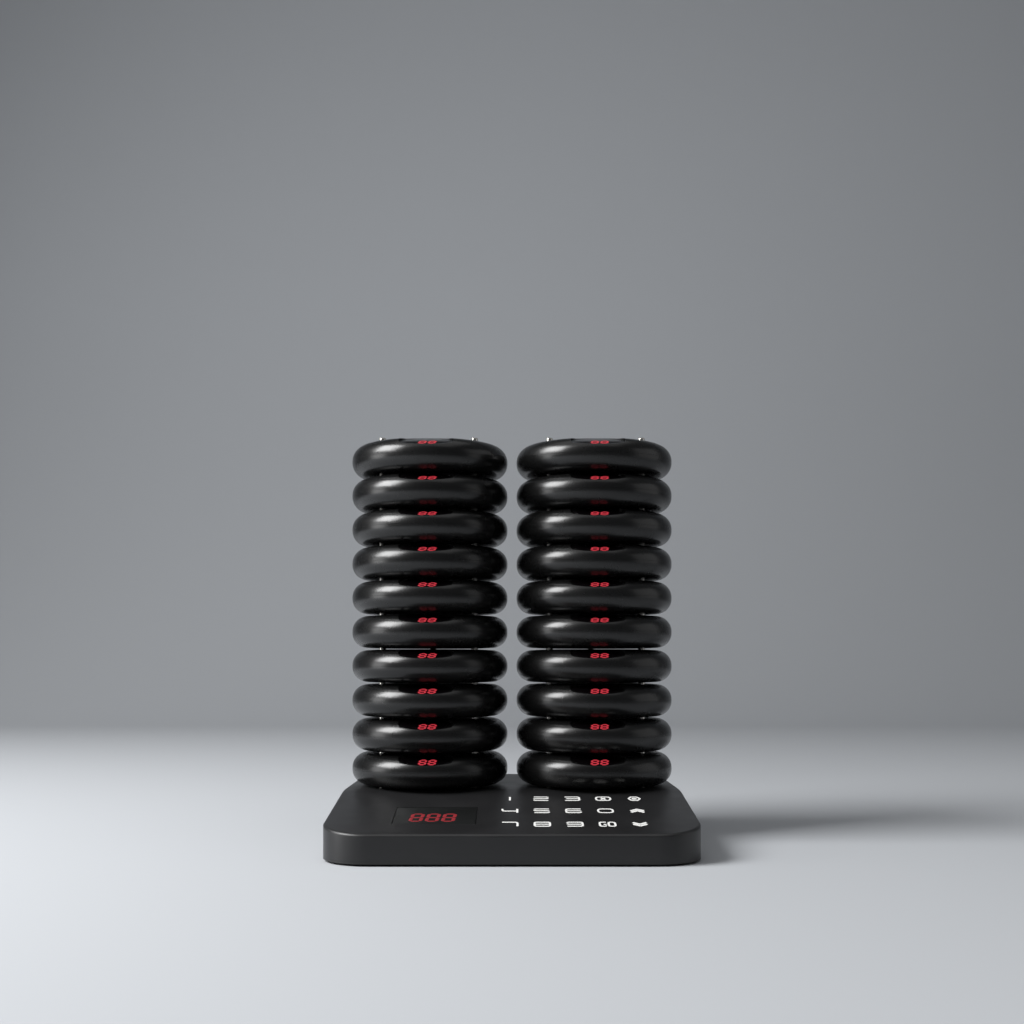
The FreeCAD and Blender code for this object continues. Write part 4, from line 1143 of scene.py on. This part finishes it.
    def figures(self) -> Skin:
        """The two lit figures, just over the pane."""
        return self.figures_row.on(self.facet, self.figures_place)


@dataclass
class Pagers:
    """Both stacks of pagers."""

    shape: PagerShape = field(default_factory=PagerShape)
    half_spacing: float = 50.3
    setback: float = 27.8
    foot: float = 30.6
    pitch: float = 20.76

    def build(self) -> None:
        """Builds each pager from the shared form, moved to its place."""
        shape = self.shape
        forms = (
            ("top_shell", shape.upper(), Surface.PAGER, "pager_plastic", "upper_case", "case"),
            ("bottom_shell", shape.lower(), Surface.PAGER, "pager_plastic", "lower_case", None),
            ("pane", shape.pane(), Surface.PANE, "pager_window", "display_window", None),
            ("figures", shape.figures(), Surface.PAGER_LIGHT, "display", None, None),
            ("contacts", shape.contacts(), Surface.CONTACT, "contact_metal", "contact_studs", "core"))
        for stack, x in (("left", -self.half_spacing), ("right", self.half_spacing)):
            for rank in range(PAGERS_PER_STACK):
                body = f"pager_{stack}_{rank + 1:02d}"
                at = (x, self.setback, self.foot + rank * self.pitch)
                for piece, form, surface, slot, own_node, shared_node in forms:
                    node = own_node if body == OPEN_PAGER else shared_node
                    show(f"{body}_{piece}", form.placed(piece, at), surface, body, slot,
                         *([f"{body}_{node}"] if node else []))


# The studio


@dataclass(frozen=True)
class Lamp:
    """A square soft box that looks at a point: places and side in metres, power in watts."""

    name: str
    at: tuple[float, float, float]
    aim: tuple[float, float, float]
    size: float
    power: float

    def build(self) -> None:
        """Puts the lamp in the scene."""
        lamp = bpy.data.lights.new(self.name, "AREA")
        lamp.shape, lamp.size, lamp.energy = "SQUARE", self.size, self.power
        made = bpy.data.objects.new(self.name, lamp)
        made.location = self.at
        made.rotation_euler = (Vector(self.aim) - Vector(self.at)).to_track_quat("-Z", "Y").to_euler()
        bpy.context.scene.collection.objects.link(made)


LAMPS = (Lamp("key_box", (-1.22, -0.43, 1.06), (0.0, 0.0, 0.12), 0.85, 42.0),
         Lamp("overhead_box", (0.0, -0.4, 1.9), (0.0, 0.0, 0.1), 2.0, 8.0),
         Lamp("fill_box", (1.6, -0.2, 0.5), (0.0, 0.0, 0.12), 1.3, 2.2),
         Lamp("side_box", (-1.5, -0.3, 0.22), (0.0, 0.0, 0.03), 0.6, 4.5))


@dataclass
class Studio:
    """Paper sweep, soft lamps and the camera."""

    camera_distance: float = 820.0
    eye_height: float = 108.5
    focal_length: float = 46.87
    sensor_width: float = 36.0
    horizon_shift: float = 0.1416
    view_range: float = 50.0
    surround_strength: float = 0.12

    def build(self) -> None:
        """Sets up the sweep, the lamps, the world and the camera."""
        self.build_sweep()
        for lamp in LAMPS:
            lamp.build()
        self.build_world()
        self.build_camera()

    def build_sweep(self) -> None:
        """A floor that curves up into a backdrop: level, then a quarter circle, then upright, in metres."""
        radius, rear, side, front, top, columns = 0.9, 1.3, 4.0, -3.0, 3.5, 9
        turn = np.linspace(0, np.pi / 2, 24)
        y = np.concatenate([[front, 0.0], rear + radius * np.sin(turn), [rear + radius]])
        z = np.concatenate([[0.0, 0.0], radius - radius * np.cos(turn), [top]])
        x = np.linspace(-side, side, columns)
        rows = [np.column_stack([x, np.full(columns, b), np.full(columns, c)]) for b, c in zip(y, z)]
        sweep = make_object("sweep", grid(np.stack(rows) / METRE, closed=False).mesh("sweep"))
        sweep.data.materials.append(finish_of(Surface.PAPER))

    def build_world(self) -> None:
        """An even pale surround."""
        world = bpy.data.worlds.new("surround")
        world.use_nodes = True
        background = world.node_tree.nodes["Background"]
        background.inputs["Color"].default_value = linear("#eef1f5")
        background.inputs["Strength"].default_value = self.surround_strength
        bpy.context.scene.world = world

    def build_camera(self) -> None:
        """A level camera in front, shifted up so that the whole stacks are in view."""
        data = bpy.data.cameras.new("camera")
        data.lens, data.sensor_width, data.sensor_fit = self.focal_length, self.sensor_width, "HORIZONTAL"
        data.shift_y = self.horizon_shift
        data.clip_end = self.view_range
        camera = bpy.data.objects.new("camera", data)
        camera.location = (0.0, (Pagers.setback - self.camera_distance) * METRE, self.eye_height * METRE)
        camera.rotation_euler = (math.pi / 2, 0.0, 0.0)
        bpy.context.scene.collection.objects.link(camera)
        bpy.context.scene.camera = camera


def main() -> None:
    """Builds the object and its studio."""
    Base().build()
    Pagers().build()
    dress_kept_nodes()
    Studio().build()
    bpy.context.scene.view_settings.view_transform = "Standard"


if __name__ == "__main__":
    main()
